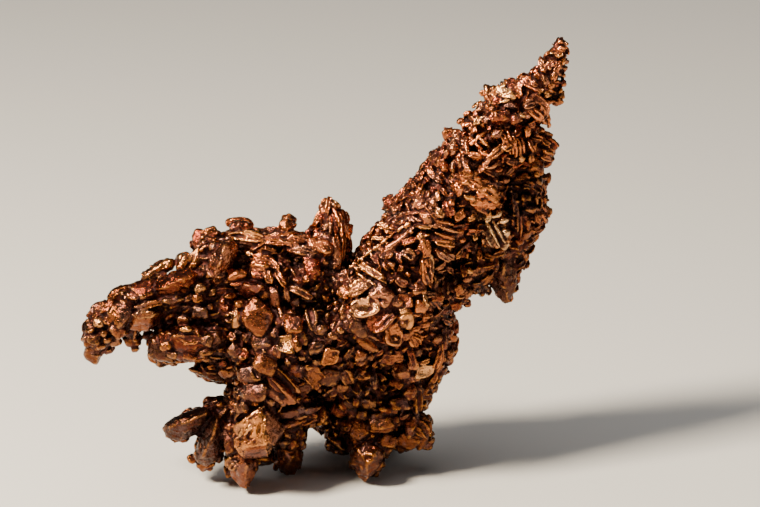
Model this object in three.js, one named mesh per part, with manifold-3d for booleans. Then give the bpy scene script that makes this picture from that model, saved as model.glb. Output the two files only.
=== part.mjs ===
// A branching specimen of native copper: one grown mass of copper crystals.
// Left arm, top ridge with a peak, dark middle, crystals spread out below, a
// lobe at the lower right and one long arm that rises to the upper right.
// Millimetres, +Z up. Front is -Y. It stands on the tips of its lowest
// crystals, which end in small flat facets at z = 0.
import * as THREE from 'three';
import { ConvexGeometry } from 'three/addons/geometries/ConvexGeometry.js';
import { mergeVertices } from 'three/addons/utils/BufferGeometryUtils.js';
import Module from 'manifold-3d';

// ---------------------------------------------------------------- dimensions
const UNIT = 0.2;             // mm per layout unit on the plane y = 0
const VIEW_ELEVATION = 16;    // degrees, how far the layout plane leans back
const VIEW_DISTANCE = 520;    // mm, the eye point the layout converges to
const LAYOUT_MID_U = 380;     // layout units, the point straight ahead
const LAYOUT_MID_V = 253.5;
const OBJECT_MID_U = 325.5;   // layout units, middle of the whole width
const FOOT_U = 243;           // layout units, the lowest tip
const FOOT_V = 489.5;
const FOOT_FRONT = 2;         // mm, how far that tip stands forward
const SHIFT_X = 0.27;            // mm, moves the mass over the origin
const SHIFT_Y = -6.647;
const SINK = 0.28;            // part of a crystal's thickness set into the mass
const LIFT = 0.8;             // share of the listed height that is used
const FOOT_FACET = 4.4;       // mm, width of the crystals the mass stands on
const BACK_SIZE = 34;         // layout units, mean crystal size on the back
const BACK_SPACING = 34;      // layout units, spacing of crystals on the back
const LIMB_SIDES = 6;         // sides of a limb's section
const WELD = 1e-3;            // mm
const LIMB_SLIM = 0.97;       // limbs stay this much inside the crystals
const ROOT = 2.4;             // mm, how far a crystal reaches back into the mass

// The mass under the crystals: limbs as chains of sections, each section
// u, v, half width, depth of the middle (mm forward), half depth (mm).
const LIMBS = {
  arm: [[345,335,48,-2,11.5], [397,279,47,-3,11], [431,229,45,-4,10.5], [466,183,42,-6,9.5], [496,143,35,-7.5,8], [517,107,26,-8.5,6], [542,82,13,-9.5,3.8], [557,60,7.5,-10,2.6], [562,46,5.5,-10,1.9]],
  body: [[243,345,36,-2,10], [300,345,47,-2,12.5], [365,330,47,-3,12], [405,300,42,-3,11]],
  upper_body: [[255,285,34,-3,9], [310,290,40,-3,10.5]],
  left_arm: [[250,318,32,-1,9], [195,303,28,0.5,7.5], [150,302,21,1.5,6], [117,320,17,2.5,5], [99,337,15,3,4.2]],
  left_block: [[215,340,19,2,7], [167,344,17,2.5,5.5]],
  left_top: [[240,285,24,-2,8], [206,280,18,-1,6.5]],
  ridge: [[322,262,24,-3,8], [285,247,16,-4,7], [245,245,14,-3.5,6], [213,253,16,-1.5,6]],
  peak: [[325,262,22,-3,8.5], [333,230,15,-4,4.6], [331,207,7,-4,2.4]],
  stub: [[240,362,20,-1,7], [207,369,9,-1,4]],
  lower_body: [[262,365,38,-1,11], [262,395,28,0,10]],
  fan_c: [[262,385,28,0,10], [246,430,24,1,8], [242,466,14,1,5]],
  fan_a: [[238,410,16,-1,6], [183,427,11,-1,4]],
  fan_b: [[232,410,14,-1,6], [209,447,12,-1,5]],
  fan_e: [[290,400,24,-3,8.5], [288,440,14,-5.5,6], [287,462,11,-8,4]],
  fan_u: [[285,412,12,-1,6], [318,414,10,-2,5]],
  right_side: [[414,300,38,-5,9], [422,342,33,-6,8.5], [402,385,30,-7.5,8.5]],
  lobe: [[345,365,40,-4,11.5], [380,405,32,-8,9.5], [375,432,22,-7,7], [366,464,13,-4,4.8]],
  lobe_left: [[350,410,18,-8,7], [340,440,12,-9,5]],
  lobe_x: [[385,405,24,-8,8], [416,430,17,-8.5,5]],
  flank: [[521,172,22,-10,6.5], [520,215,25,-10.5,6.5], [508,268,11,-12,3.6], [505,292,6,-12,2.2]],
  upper_right: [[510,148,20,-8,6.5], [540,150,14,-9,4.5]],
  inner: [[450,288,20,-5,7], [478,258,22,-8,7], [497,222,22,-9,7]],
  back: [[300,345,52,-11,9], [385,300,44,-12,9], [438,232,38,-12,8], [485,175,28,-12,6]],
  back_lobe: [[345,380,34,-12,10], [378,425,17,-18,6.5], [383,450,9,-20,4]],
  back_fan: [[310,390,32,-12,10], [342,425,15,-19,6.5], [351,446,9,-21.5,4]],
  back_left: [[230,320,26,-6,8], [170,315,14,-3,5]],
};

// Crystals: u, v, length, width, angle, height above the mass (mm),
// thickness, tilt, habit.
// Habits: 0 block, 1 nugget, 2 lens, 3 leaf, 4 rib, 5 double, 6 prism.
const CRYSTALS = [
  [256,433,48,42,38,3.2,30,0,0], [170,284,56,32,16,1.2,22,0,2], [186,424,50,25,17,0.6,20,-8,6],
  [279,388,48,26,-46,2.4,20,0,5], [146,319,44,27,10,1.6,20,0,0], [196,338,44,27,4,1.8,22,0,0],
  [212,436,20,58,-24,1.2,18,0,6], [238,470,26,40,22,1.2,18,0,2], [220,262,40,25,62,1.6,24,0,1],
  [368,460,30,31,20,1.6,20,0,5], [480,187,48,17,-27,2,13,0,0], [164,348,26,30,80,0.8,20,0,0],
  [257,318,27,28,60,2.2,22,0,0], [298,411,50,15,4,1.6,15,0,2], [357,428,24,30,35,1.4,16,0,0],
  [94,351,24,18,65,0,16,-10,0], [97,309,28,14,38,0,12,10,2], [90,327,20,17,70,0,14,0,1],
  [88,340,21.6,16.2,90,0,16.2,0,1], [108,322,21.6,12.2,-35,1.2,10.8,0,3], [364,475,17.6,13.5,-40,0.6,13.5,0,0],
  [557,72,4,26,-9,1.6,5,0,6], [549,63,14,5,25,1,5,0,2], [107,340,12.2,9.5,30,1.4,9.5,0,1],
  [553,53,11,5,-8,0.8,5,0,3], [563,61,6,9,10,1,6,0,1], [538,67,9,6,20,0.8,6,0,1],
  [561,49,9,6,-20,1,5,0,3], [554,45,9,5,-20,0.6,5,0,3], [254,290,40,17,-6,1.2,16,0,0],
  [384,320,34,20,38,2,15,0,5], [535,109,26,26,-40,1.6,14,0,0], [122,313,28,22,50,1,16,0,0],
  [288,462,20,30,16,0.2,15,0,2], [262,266,24,24,0,1.4,20,0,5], [408,438,24,24,-30,1,18,0,0],
  [501,275,12,48,10,0.8,9,0,3], [123,292,36,14,20,-0.6,14,0,2], [314,374,16,30,28,2,16,0,0],
  [357,325,16,30,38,1.6,13,0,2], [339,446,30,15,-42,0,13,0,2], [320,247,28,16,-12,1.2,14,0,0],
  [365,307,26,17,8,2.6,11,0,0], [202,241,22,20,70,-0.6,18,0,0], [336,253,13,33,-4,1,11,0,6],
  [240,223,30,14,0,-6,14,0,1], [455,146,15,28,-12,1.6,13,0,1], [262,341,20,20,30,1.6,18,0,0],
  [265,364,22,18,-20,2,16,0,0], [240,259,18,21,80,1.4,16,0,1], [382,295,22,17,-42,2,13,0,0],
  [536,166,17,22,10,1.6,12,0,1], [427,270,13,28,16,2.4,11,0,3], [133,339,18,20,80,-0.4,14,0,1],
  [256,391,18,20,70,1.6,16,0,0], [387,440,24,15,-15,0.8,13,0,0], [312,267,14,25,10,1.4,14,0,1],
  [330,375,18,19,-20,1.4,16,0,0], [398,241,38,9,38,2,9,0,6], [498,151,38,9,34,2.4,8,0,3],
  [294,325,17,20,0,2,14,0,0], [203,371,34,10,-8,0,10,-15,2], [418,396,10,34,6,0.8,10,0,4],
  [278,317,14,24,25,1.8,12,0,4], [250,374,22,15,10,1.6,14,0,0], [421,203,22,15,42,2.2,11,0,3],
  [337,222,36,9,-72,0.8,9,0,3], [117,329,20,16,-50,1.2,12,0,0], [230,440,12,26,8,1.2,12,0,0],
  [360,289,24,13,30,2.2,10,0,4], [228,372,22,14,10,1,13,0,1], [406,318,14,22,22,2.2,12,0,1],
  [444,253,28,11,-28,2,10,0,3], [288,222,18,17,60,-7,15,0,1], [402,370,18,17,0,1.8,12,0,1],
  [200,312,19,16,0,0.6,14,0,0], [184,262,15,20,-15,0.8,16,0,1], [427,216,17,17,0,1.8,11,0,1],
  [246,236,41.5,9.2,3,1,9.2,0,4], [232,392,20.7,18.4,0,-1,16.1,0,1], [437,356,10.4,36.9,-12,1,10.4,0,3],
  [425,246,15,25.4,4,2.2,12.7,0,0], [236,319,16.4,23.4,0,2,15.2,0,1], [206,463,23.4,16.4,30,1.2,15.2,0,0],
  [391,203,23.4,16.4,15,0.4,14,0,0], [343,406,19,20.2,60,1.2,15.4,0,1], [372,273,40.3,9.5,-30,2.2,9.5,0,4],
  [322,217,35.7,10.7,58,0.4,10.7,0,3], [330,427,35.7,10.7,8,0,10.7,0,2], [297,370,16.8,22.8,15,1.4,14.4,0,1],
  [237,275,24.2,15.8,0,1.6,14.5,0,0], [366,343,31.5,12.1,-33,1.6,12.1,0,2], [447,209,15.8,24.2,20,2,13.3,0,3],
  [501,117,24.2,15.8,10,2.2,14.5,0,0], [343,277,19.5,19.5,-30,1.6,14.7,0,0], [262,231,51.7,7.4,-9,0.4,8.6,0,2],
  [444,338,11.1,34.5,-14,0.6,11.1,0,3], [311,320,13.8,27.6,8,1.2,12.6,0,5], [508,94,27.6,13.8,-12,1.8,11.3,0,3],
  [286,236,37.9,10.1,18,0.8,10.1,0,4], [300,238,30.3,12.6,8,1,12.6,0,2], [345,376,15.1,25.2,25,1,12.6,0,4],
  [381,428,30.3,12.6,5,1.2,12.6,0,0], [478,208,37.9,10.1,-28,1.4,10.1,0,2], [555,93,25.2,15.1,-12,1.6,11.4,0,0],
  [322,410,11.5,33.2,-8,1.4,14.1,0,2],
];

// Crystals the mass stands on: u, v of the tip, mm forward, length (mm)
const FEET = [
  [243, 488, 2, 14],
  [363, 480, -4, 12],
  [291, 472, -10.5, 13],
  [381, 458, -21, 15],
  [353, 456, -22.5, 15],
];

// ---------------------------------------------------------------- placing
const DEG = Math.PI / 180;
const E = VIEW_ELEVATION * DEG;
const RIGHT = new THREE.Vector3(1, 0, 0);
const UP = new THREE.Vector3(0, Math.sin(E), Math.cos(E));
const OUT = new THREE.Vector3(0, -Math.cos(E), Math.sin(E));
const FOCAL = VIEW_DISTANCE / UNIT;

function rayHit(u, v, forward, aim) {
  const eye = aim.clone().addScaledVector(OUT, VIEW_DISTANCE);
  const dir = OUT.clone().negate()
    .addScaledVector(RIGHT, (u - LAYOUT_MID_U) / FOCAL)
    .addScaledVector(UP, (LAYOUT_MID_V - v) / FOCAL);
  const k = (-forward - eye.y) / dir.y;
  return eye.addScaledVector(dir, k);
}
const AIM = new THREE.Vector3((LAYOUT_MID_U - OBJECT_MID_U) * UNIT, 0, 0);
AIM.z = -rayHit(FOOT_U, FOOT_V, FOOT_FRONT, AIM).z;
const place = (u, v, forward) => rayHit(u, v, forward, AIM);

// Front (side 1) or back (side -1) surface of the mass at a point of the
// layout, mm forward. Outside the mass: the middle depth of the nearest limb.
function surface(u, v, side = 1) {
  let best = -1e9, near = 1e9, rest = 0;
  for (const chain of Object.values(LIMBS)) {
    for (let i = 0; i + 1 < chain.length; i++) {
      const [u0, v0, w0, d0, c0] = chain[i];
      const [u1, v1, w1, d1, c1] = chain[i + 1];
      const lu = u1 - u0, lv = v1 - v0;
      const t = Math.min(1, Math.max(0, ((u - u0) * lu + (v - v0) * lv) / (lu * lu + lv * lv)));
      const w = w0 + (w1 - w0) * t, d = d0 + (d1 - d0) * t, c = c0 + (c1 - c0) * t;
      const r = Math.hypot(u - u0 - lu * t, v - v0 - lv * t) / w;
      if (r < 1) best = Math.max(best, side * d + c * Math.sqrt(1 - r * r));
      if (r < near) { near = r; rest = side * d; }
    }
  }
  return [side * (near < 1 ? best : rest), near];
}
const front = (u, v) => surface(u, v, 1)[0];
const back = (u, v) => surface(u, v, -1)[0];
function slope(u, v) {
  const s = 5;
  let gx = (front(u + s, v) - front(u - s, v)) / (2 * s * UNIT);
  let gy = (front(u, v - s) - front(u, v + s)) / (2 * s * UNIT);
  const m = Math.hypot(gx, gy);
  if (m > 0.9) { gx *= 0.9 / m; gy *= 0.9 / m; }
  return [gx, gy];
}
// Frame of a crystal: length along the angle, thickness along the surface normal.
function frameAt(ang, gx, gy, tilt) {
  const c = Math.cos(ang * DEG), s = Math.sin(ang * DEG);
  const n = new THREE.Vector3().addScaledVector(RIGHT, -gx * 0.8).addScaledVector(UP, -gy * 0.8).add(OUT).normalize();
  const rise = (c * gx + s * gy) * 0.8 + Math.tan(tilt * DEG);
  const l = new THREE.Vector3().addScaledVector(RIGHT, c).addScaledVector(UP, s).addScaledVector(OUT, rise).normalize();
  const w = new THREE.Vector3().crossVectors(n, l).normalize();
  const t = new THREE.Vector3().crossVectors(l, w).normalize();
  return new THREE.Matrix4().makeBasis(l, w, t);
}

// Repeatable small variation.
let seed = 20371;
function rnd() {
  seed = (seed * 1103515245 + 12345) & 0x7fffffff;
  return seed / 0x7fffffff;
}
const vary = (lo, hi) => lo + (hi - lo) * rnd();

// ---------------------------------------------------------------- habits
function ring(points, x, ry, rz, n, turn) {
  for (let i = 0; i < n; i++) {
    const a = turn + (2 * Math.PI * i) / n;
    points.push(new THREE.Vector3(x, ry * Math.cos(a), rz * Math.sin(a)));
  }
}
function rect(points, x, y, z) {
  for (const i of [-1, 1]) for (const j of [-1, 1]) points.push(new THREE.Vector3(i * x, j * y, z));
}
function habit(kind, a, b, c, root = 0) {
  const p = [];
  if (kind === 0) {            // block with sloping sides
    rect(p, 0.74 * a, 0.68 * b, c);
    rect(p, a, b, -0.6 * c);
  } else if (kind === 1) {     // nugget
    rect(p, 0.5 * a, 0.86 * b, 0.1 * c);
    p.push(new THREE.Vector3(-a, 0, -0.1 * c), new THREE.Vector3(a, 0.1 * b, 0));
    p.push(new THREE.Vector3(-0.4 * a, 0.2 * b, c), new THREE.Vector3(0.4 * a, -0.15 * b, 0.95 * c));
    p.push(new THREE.Vector3(0, 0, -c));
  } else if (kind === 2) {     // lens with a blunt keel
    p.push(new THREE.Vector3(-a, 0, 0), new THREE.Vector3(a, 0, 0));
    rect(p, 0.45 * a, b, 0);
    p.push(new THREE.Vector3(-0.5 * a, 0, c), new THREE.Vector3(0.5 * a, 0, c));
    p.push(new THREE.Vector3(0, 0, -c));
  } else if (kind === 3) {     // leaf with a sharp keel
    p.push(new THREE.Vector3(-a, 0, -0.2 * c), new THREE.Vector3(a, 0, -0.2 * c));
    rect(p, 0.42 * a, b, -0.35 * c);
    for (const i of [-1, 1]) p.push(new THREE.Vector3(i * 0.62 * a, 0, c));
    p.push(new THREE.Vector3(0, 0, -c));
  } else if (kind === 4) {     // narrow rib
    rect(p, 0.8 * a, 0.4 * b, c);
    rect(p, a, b, -0.6 * c);
  } else if (kind === 5) {     // double crystal, hull of both halves
    p.push(new THREE.Vector3(-a, 0, 0), new THREE.Vector3(a, 0, 0));
    rect(p, 0.5 * a, b, -0.1 * c);
    for (const i of [-1, 1]) p.push(new THREE.Vector3(0.5 * i * a, 0.35 * i * b, c), new THREE.Vector3(0.3 * i * a, -0.55 * i * b, 0.8 * c));
    p.push(new THREE.Vector3(0, 0, -c));
  } else {                     // six-sided prism with pointed ends
    ring(p, -0.72 * a, 0.95 * b, 0.95 * c, 6, 0.26);
    ring(p, 0.72 * a, 0.95 * b, 0.95 * c, 6, 0.26);
    p.push(new THREE.Vector3(-a, 0, 0), new THREE.Vector3(a, 0, 0));
  }
  for (const q of p) if (q.z < -0.5 * c) q.z -= root;
  return new ConvexGeometry(p);
}

// ---------------------------------------------------------------- joining
const wasm = await Module();
wasm.setup();
const { Manifold, Mesh } = wasm;

function solid(geometry, weld = 1e-4) {
  const g0 = geometry.clone();
  if (g0.getAttribute('normal')) g0.deleteAttribute('normal');
  if (g0.getAttribute('uv')) g0.deleteAttribute('uv');
  const g = mergeVertices(g0, weld);
  const pos = g.getAttribute('position');
  const vertProperties = new Float32Array(pos.array);
  const triVerts = new Uint32Array(g.index.array);
  return new Manifold(new Mesh({ numProp: 3, vertProperties, triVerts }));
}

const bodies = [];

// limbs: each link is the hull of two elliptical sections
function section(points, [u, v, w, d, c], nu, nv) {
  for (let i = 0; i < LIMB_SIDES; i++) {
    const a = (2 * Math.PI * (i + 0.5)) / LIMB_SIDES;
    const p = place(u, v, d);
    p.addScaledVector(RIGHT, w * UNIT * LIMB_SLIM * Math.cos(a) * nu);
    p.addScaledVector(UP, -w * UNIT * LIMB_SLIM * Math.cos(a) * nv);
    p.addScaledVector(OUT, c * LIMB_SLIM * Math.sin(a));
    points.push(p);
  }
}
// A rounded end: a smaller section set on past the last one.
function rounded(end, before) {
  const lu = end[0] - before[0], lv = end[1] - before[1], m = Math.hypot(lu, lv);
  const step = (0.7 * end[2]) / m;
  return [end[0] + lu * step, end[1] + lv * step, 0.71 * end[2], end[3], 0.71 * end[4]];
}
for (const line of Object.values(LIMBS)) {
  const chain = [rounded(line[0], line[1]), ...line, rounded(line[line.length - 1], line[line.length - 2])];
  const normals = chain.map((_, i) => {
    const a = chain[Math.max(0, i - 1)], b = chain[Math.min(chain.length - 1, i + 1)];
    const lu = b[0] - a[0], lv = b[1] - a[1], m = Math.hypot(lu, lv);
    return [-lv / m, lu / m];
  });
  for (let i = 0; i + 1 < chain.length; i++) {
    const p = [];
    section(p, chain[i], ...normals[i]);
    section(p, chain[i + 1], ...normals[i + 1]);
    bodies.push(solid(new ConvexGeometry(p)));
  }
}

// crystals of the front and of the outline
for (const [u, v, L, W, ang, up, T, tilt, kind] of CRYSTALS) {
  const level = front(u, v) + LIFT * up - SINK * T * UNIT;
  const [gx, gy] = slope(u, v);
  const g = habit(kind, (L * UNIT) / 2, (W * UNIT) / 2, (T * UNIT) / 2, ROOT);
  g.applyMatrix4(frameAt(ang, gx, gy, tilt));
  const at = place(u, v, level);
  g.translate(at.x, at.y, at.z);
  bodies.push(solid(g));
}

// crystals of the back: a jittered grid over the side turned away
const rows = Math.ceil(460 / BACK_SPACING), cols = Math.ceil(500 / BACK_SPACING);
for (let j = 0; j < rows; j++) {
  for (let i = 0; i < cols; i++) {
    const u = 78 + (i + 0.5 * (j % 2) + vary(-0.3, 0.3)) * BACK_SPACING;
    const v = 36 + (j + vary(-0.3, 0.3)) * BACK_SPACING;
    const size = BACK_SIZE * vary(0.75, 1.3), wide = vary(0.55, 0.9), thick = vary(0.45, 0.75);
    const turn = vary(0, 180), kind = [0, 2, 3, 1, 0][Math.floor(vary(0, 4.99))];
    const [k, near] = surface(u, v, -1);
    if (near > 0.9) continue;                  // outside the mass
    const s = 5;
    const gx = -(back(u + s, v) - back(u - s, v)) / (2 * s * UNIT);
    const gy = -(back(u, v - s) - back(u, v + s)) / (2 * s * UNIT);
    const g = habit(kind, (size * UNIT) / 2, (size * wide * UNIT) / 2, (size * thick * UNIT) / 2);
    g.rotateX(Math.PI);
    const lim = Math.min(1, 1.1 / Math.max(1e-6, Math.hypot(gx, gy)));
    g.applyMatrix4(frameAt(turn, -gx * lim, -gy * lim, 0));
    const at = place(u, v, k - 0.1 * size * thick * UNIT);
    g.translate(at.x, at.y, at.z);
    bodies.push(solid(g));
  }
}

// crystals the mass stands on: upright prisms that end in a flat facet
for (const [u, v, forward, len] of FEET) {
  const tip = place(u, v, forward);
  const r = FOOT_FACET / 2;
  const p = [];
  for (let i = 0; i < 6; i++) {
    const a = 0.4 + (2 * Math.PI * i) / 6;
    p.push(new THREE.Vector3(r * 0.62 * Math.cos(a), r * 0.62 * Math.sin(a), 0));
    p.push(new THREE.Vector3(r * 1.35 * Math.cos(a + 0.2), r * 1.25 * Math.sin(a + 0.2), len * 0.45));
    p.push(new THREE.Vector3(r * 1.1 * Math.cos(a), r * 1.1 * Math.sin(a) + 0.5, len));
  }
  const g = new ConvexGeometry(p);
  g.translate(tip.x, tip.y, 0);
  bodies.push(solid(g));
}

let mass = Manifold.union(bodies);

// flat facets underneath: everything below z = 0 is cut away
const under = new THREE.BoxGeometry(400, 400, 40);
under.translate(0, 0, -20);
mass = mass.subtract(solid(under));

// keep the outer skin of the one grown piece, with corners closer than
// WELD brought together
let geometry;
for (let pass = 0; pass < 2; pass++) {
  let best = null;
  for (const part of mass.decompose()) {
    if (!best || part.volume() > best.volume()) best = part;
  }
  const mesh = best.getMesh();
  const stride = mesh.numProp, count = mesh.vertProperties.length / stride;
  const xyz = new Float32Array(count * 3);
  for (let i = 0; i < count; i++) {
    xyz[i * 3] = mesh.vertProperties[i * stride];
    xyz[i * 3 + 1] = mesh.vertProperties[i * stride + 1];
    xyz[i * 3 + 2] = mesh.vertProperties[i * stride + 2];
  }
  geometry = new THREE.BufferGeometry();
  geometry.setAttribute('position', new THREE.BufferAttribute(xyz, 3));
  geometry.setIndex(new THREE.BufferAttribute(new Uint32Array(mesh.triVerts), 1));
  geometry = mergeVertices(geometry, WELD);
  mass = solid(geometry, WELD);
}
geometry.translate(SHIFT_X, SHIFT_Y, 0);
geometry.computeVertexNormals();

const copper = new THREE.MeshStandardMaterial({ color: 0x8a4a2b, roughness: 0.45, metalness: 0.9 });
const nugget = new THREE.Mesh(geometry, copper);
nugget.name = 'native_copper';

const root = new THREE.Group();
root.name = 'native_copper_specimen';
root.add(nugget);
export default root;
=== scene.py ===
import bmesh
import bpy
import math
import time
import numpy as np
from mathutils import Matrix, Vector
from mathutils.bvhtree import BVHTree
from mathutils.kdtree import KDTree


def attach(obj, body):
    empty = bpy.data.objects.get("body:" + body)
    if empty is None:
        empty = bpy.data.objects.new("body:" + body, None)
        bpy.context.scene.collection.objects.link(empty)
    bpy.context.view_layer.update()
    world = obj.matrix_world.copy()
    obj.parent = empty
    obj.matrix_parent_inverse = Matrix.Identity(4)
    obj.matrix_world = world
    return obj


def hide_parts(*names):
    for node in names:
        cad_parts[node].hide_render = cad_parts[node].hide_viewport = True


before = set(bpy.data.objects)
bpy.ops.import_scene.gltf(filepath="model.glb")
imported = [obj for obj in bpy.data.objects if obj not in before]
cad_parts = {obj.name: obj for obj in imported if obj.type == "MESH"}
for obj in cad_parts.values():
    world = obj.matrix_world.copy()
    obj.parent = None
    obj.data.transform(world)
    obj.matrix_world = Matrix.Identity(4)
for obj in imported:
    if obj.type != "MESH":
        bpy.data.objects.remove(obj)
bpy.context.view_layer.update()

# ------------------------------------------------------------------ dimensions
MM = 0.001
UNIT = 0.2                   # mm per layout unit on the plane y = 0
ELEV = math.radians(16.0)    # how far the layout plane leans back
DIST = 520.0                 # mm from the eye point to the layout plane
MID_U, MID_V = 380.0, 253.5
OBJECT_MID_U = 325.5
FOOT_U, FOOT_V, FOOT_FRONT = 243.0, 489.5, 2.0
SHIFT = np.array([0.27, -6.647, 0.0])
SINK, LIFT, ROOT = 0.28, 0.8, 2.2
SLIM = 0.90
rng = np.random.default_rng(4127)

RIGHT = np.array([1.0, 0.0, 0.0])
UP = np.array([0.0, math.sin(ELEV), math.cos(ELEV)])
OUT = np.array([0.0, -math.cos(ELEV), math.sin(ELEV)])
FOCAL = DIST / UNIT

# limbs: chains of sections u, v, half width, depth of the middle, half depth
LIMBS = {
    "arm": [(345, 335, 48, -2, 11.5), (397, 279, 47, -3, 11), (431, 229, 45, -4, 10.5), (466, 183, 42, -6, 9.5), (496, 143, 35, -7.5, 8), (517, 107, 26, -8.5, 6), (542, 82, 13, -9.5, 3.8), (557, 60, 7.5, -10, 2.6), (562, 46, 5.5, -10, 1.9)],
    "body": [(243, 345, 36, -2, 10), (300, 345, 47, -2, 12.5), (365, 330, 47, -3, 12), (405, 300, 42, -3, 11)],
    "upper_body": [(255, 285, 34, -3, 9), (310, 290, 40, -3, 10.5)],
    "left_arm": [(250, 318, 32, -1, 9), (195, 303, 28, 0.5, 7.5), (150, 302, 21, 1.5, 6), (117, 320, 17, 2.5, 5), (99, 337, 15, 3, 4.2)],
    "left_block": [(215, 340, 19, 2, 7), (167, 344, 17, 2.5, 5.5)],
    "left_top": [(240, 285, 24, -2, 8), (206, 280, 18, -1, 6.5)],
    "ridge": [(322, 262, 24, -3, 8), (285, 247, 16, -4, 7), (245, 245, 14, -3.5, 6), (213, 253, 16, -1.5, 6)],
    "peak": [(325, 262, 22, -3, 8.5), (333, 230, 15, -4, 4.6), (331, 207, 7, -4, 2.4)],
    "stub": [(240, 362, 20, -1, 7), (207, 369, 9, -1, 4)],
    "lower_body": [(262, 365, 38, -1, 11), (262, 395, 28, 0, 10)],
    "fan_c": [(262, 385, 28, 0, 10), (246, 430, 24, 1, 8), (242, 466, 14, 1, 5)],
    "fan_a": [(238, 410, 16, -1, 6), (183, 427, 11, -1, 4)],
    "fan_b": [(232, 410, 14, -1, 6), (209, 447, 12, -1, 5)],
    "fan_e": [(290, 400, 24, -3, 8.5), (288, 440, 14, -5.5, 6), (287, 462, 11, -8, 4)],
    "fan_u": [(285, 412, 12, -1, 6), (318, 414, 10, -2, 5)],
    "right_side": [(414, 300, 38, -5, 9), (422, 342, 33, -6, 8.5), (402, 385, 30, -7.5, 8.5)],
    "lobe": [(345, 365, 40, -4, 11.5), (380, 405, 32, -8, 9.5), (375, 432, 22, -7, 7), (366, 464, 13, -4, 4.8)],
    "lobe_left": [(350, 410, 18, -8, 7), (340, 440, 12, -9, 5)],
    "lobe_x": [(385, 405, 24, -8, 8), (416, 430, 17, -8.5, 5)],
    "flank": [(521, 172, 22, -10, 6.5), (520, 215, 25, -10.5, 6.5), (508, 268, 11, -12, 3.6), (505, 292, 6, -12, 2.2)],
    "upper_right": [(510, 148, 20, -8, 6.5), (540, 150, 14, -9, 4.5)],
    "inner": [(450, 288, 20, -5, 7), (478, 258, 22, -8, 7), (497, 222, 22, -9, 7)],
    "back": [(300, 345, 52, -11, 9), (385, 300, 44, -12, 9), (438, 232, 38, -12, 8), (485, 175, 28, -12, 6)],
    "back_lobe": [(345, 380, 34, -12, 10), (378, 425, 17, -18, 6.5), (383, 450, 9, -20, 4)],
    "back_fan": [(310, 390, 32, -12, 10), (342, 425, 15, -19, 6.5), (351, 446, 9, -21.5, 4)],
    "back_left": [(230, 320, 26, -6, 8), (170, 315, 14, -3, 5)],
}

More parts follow.
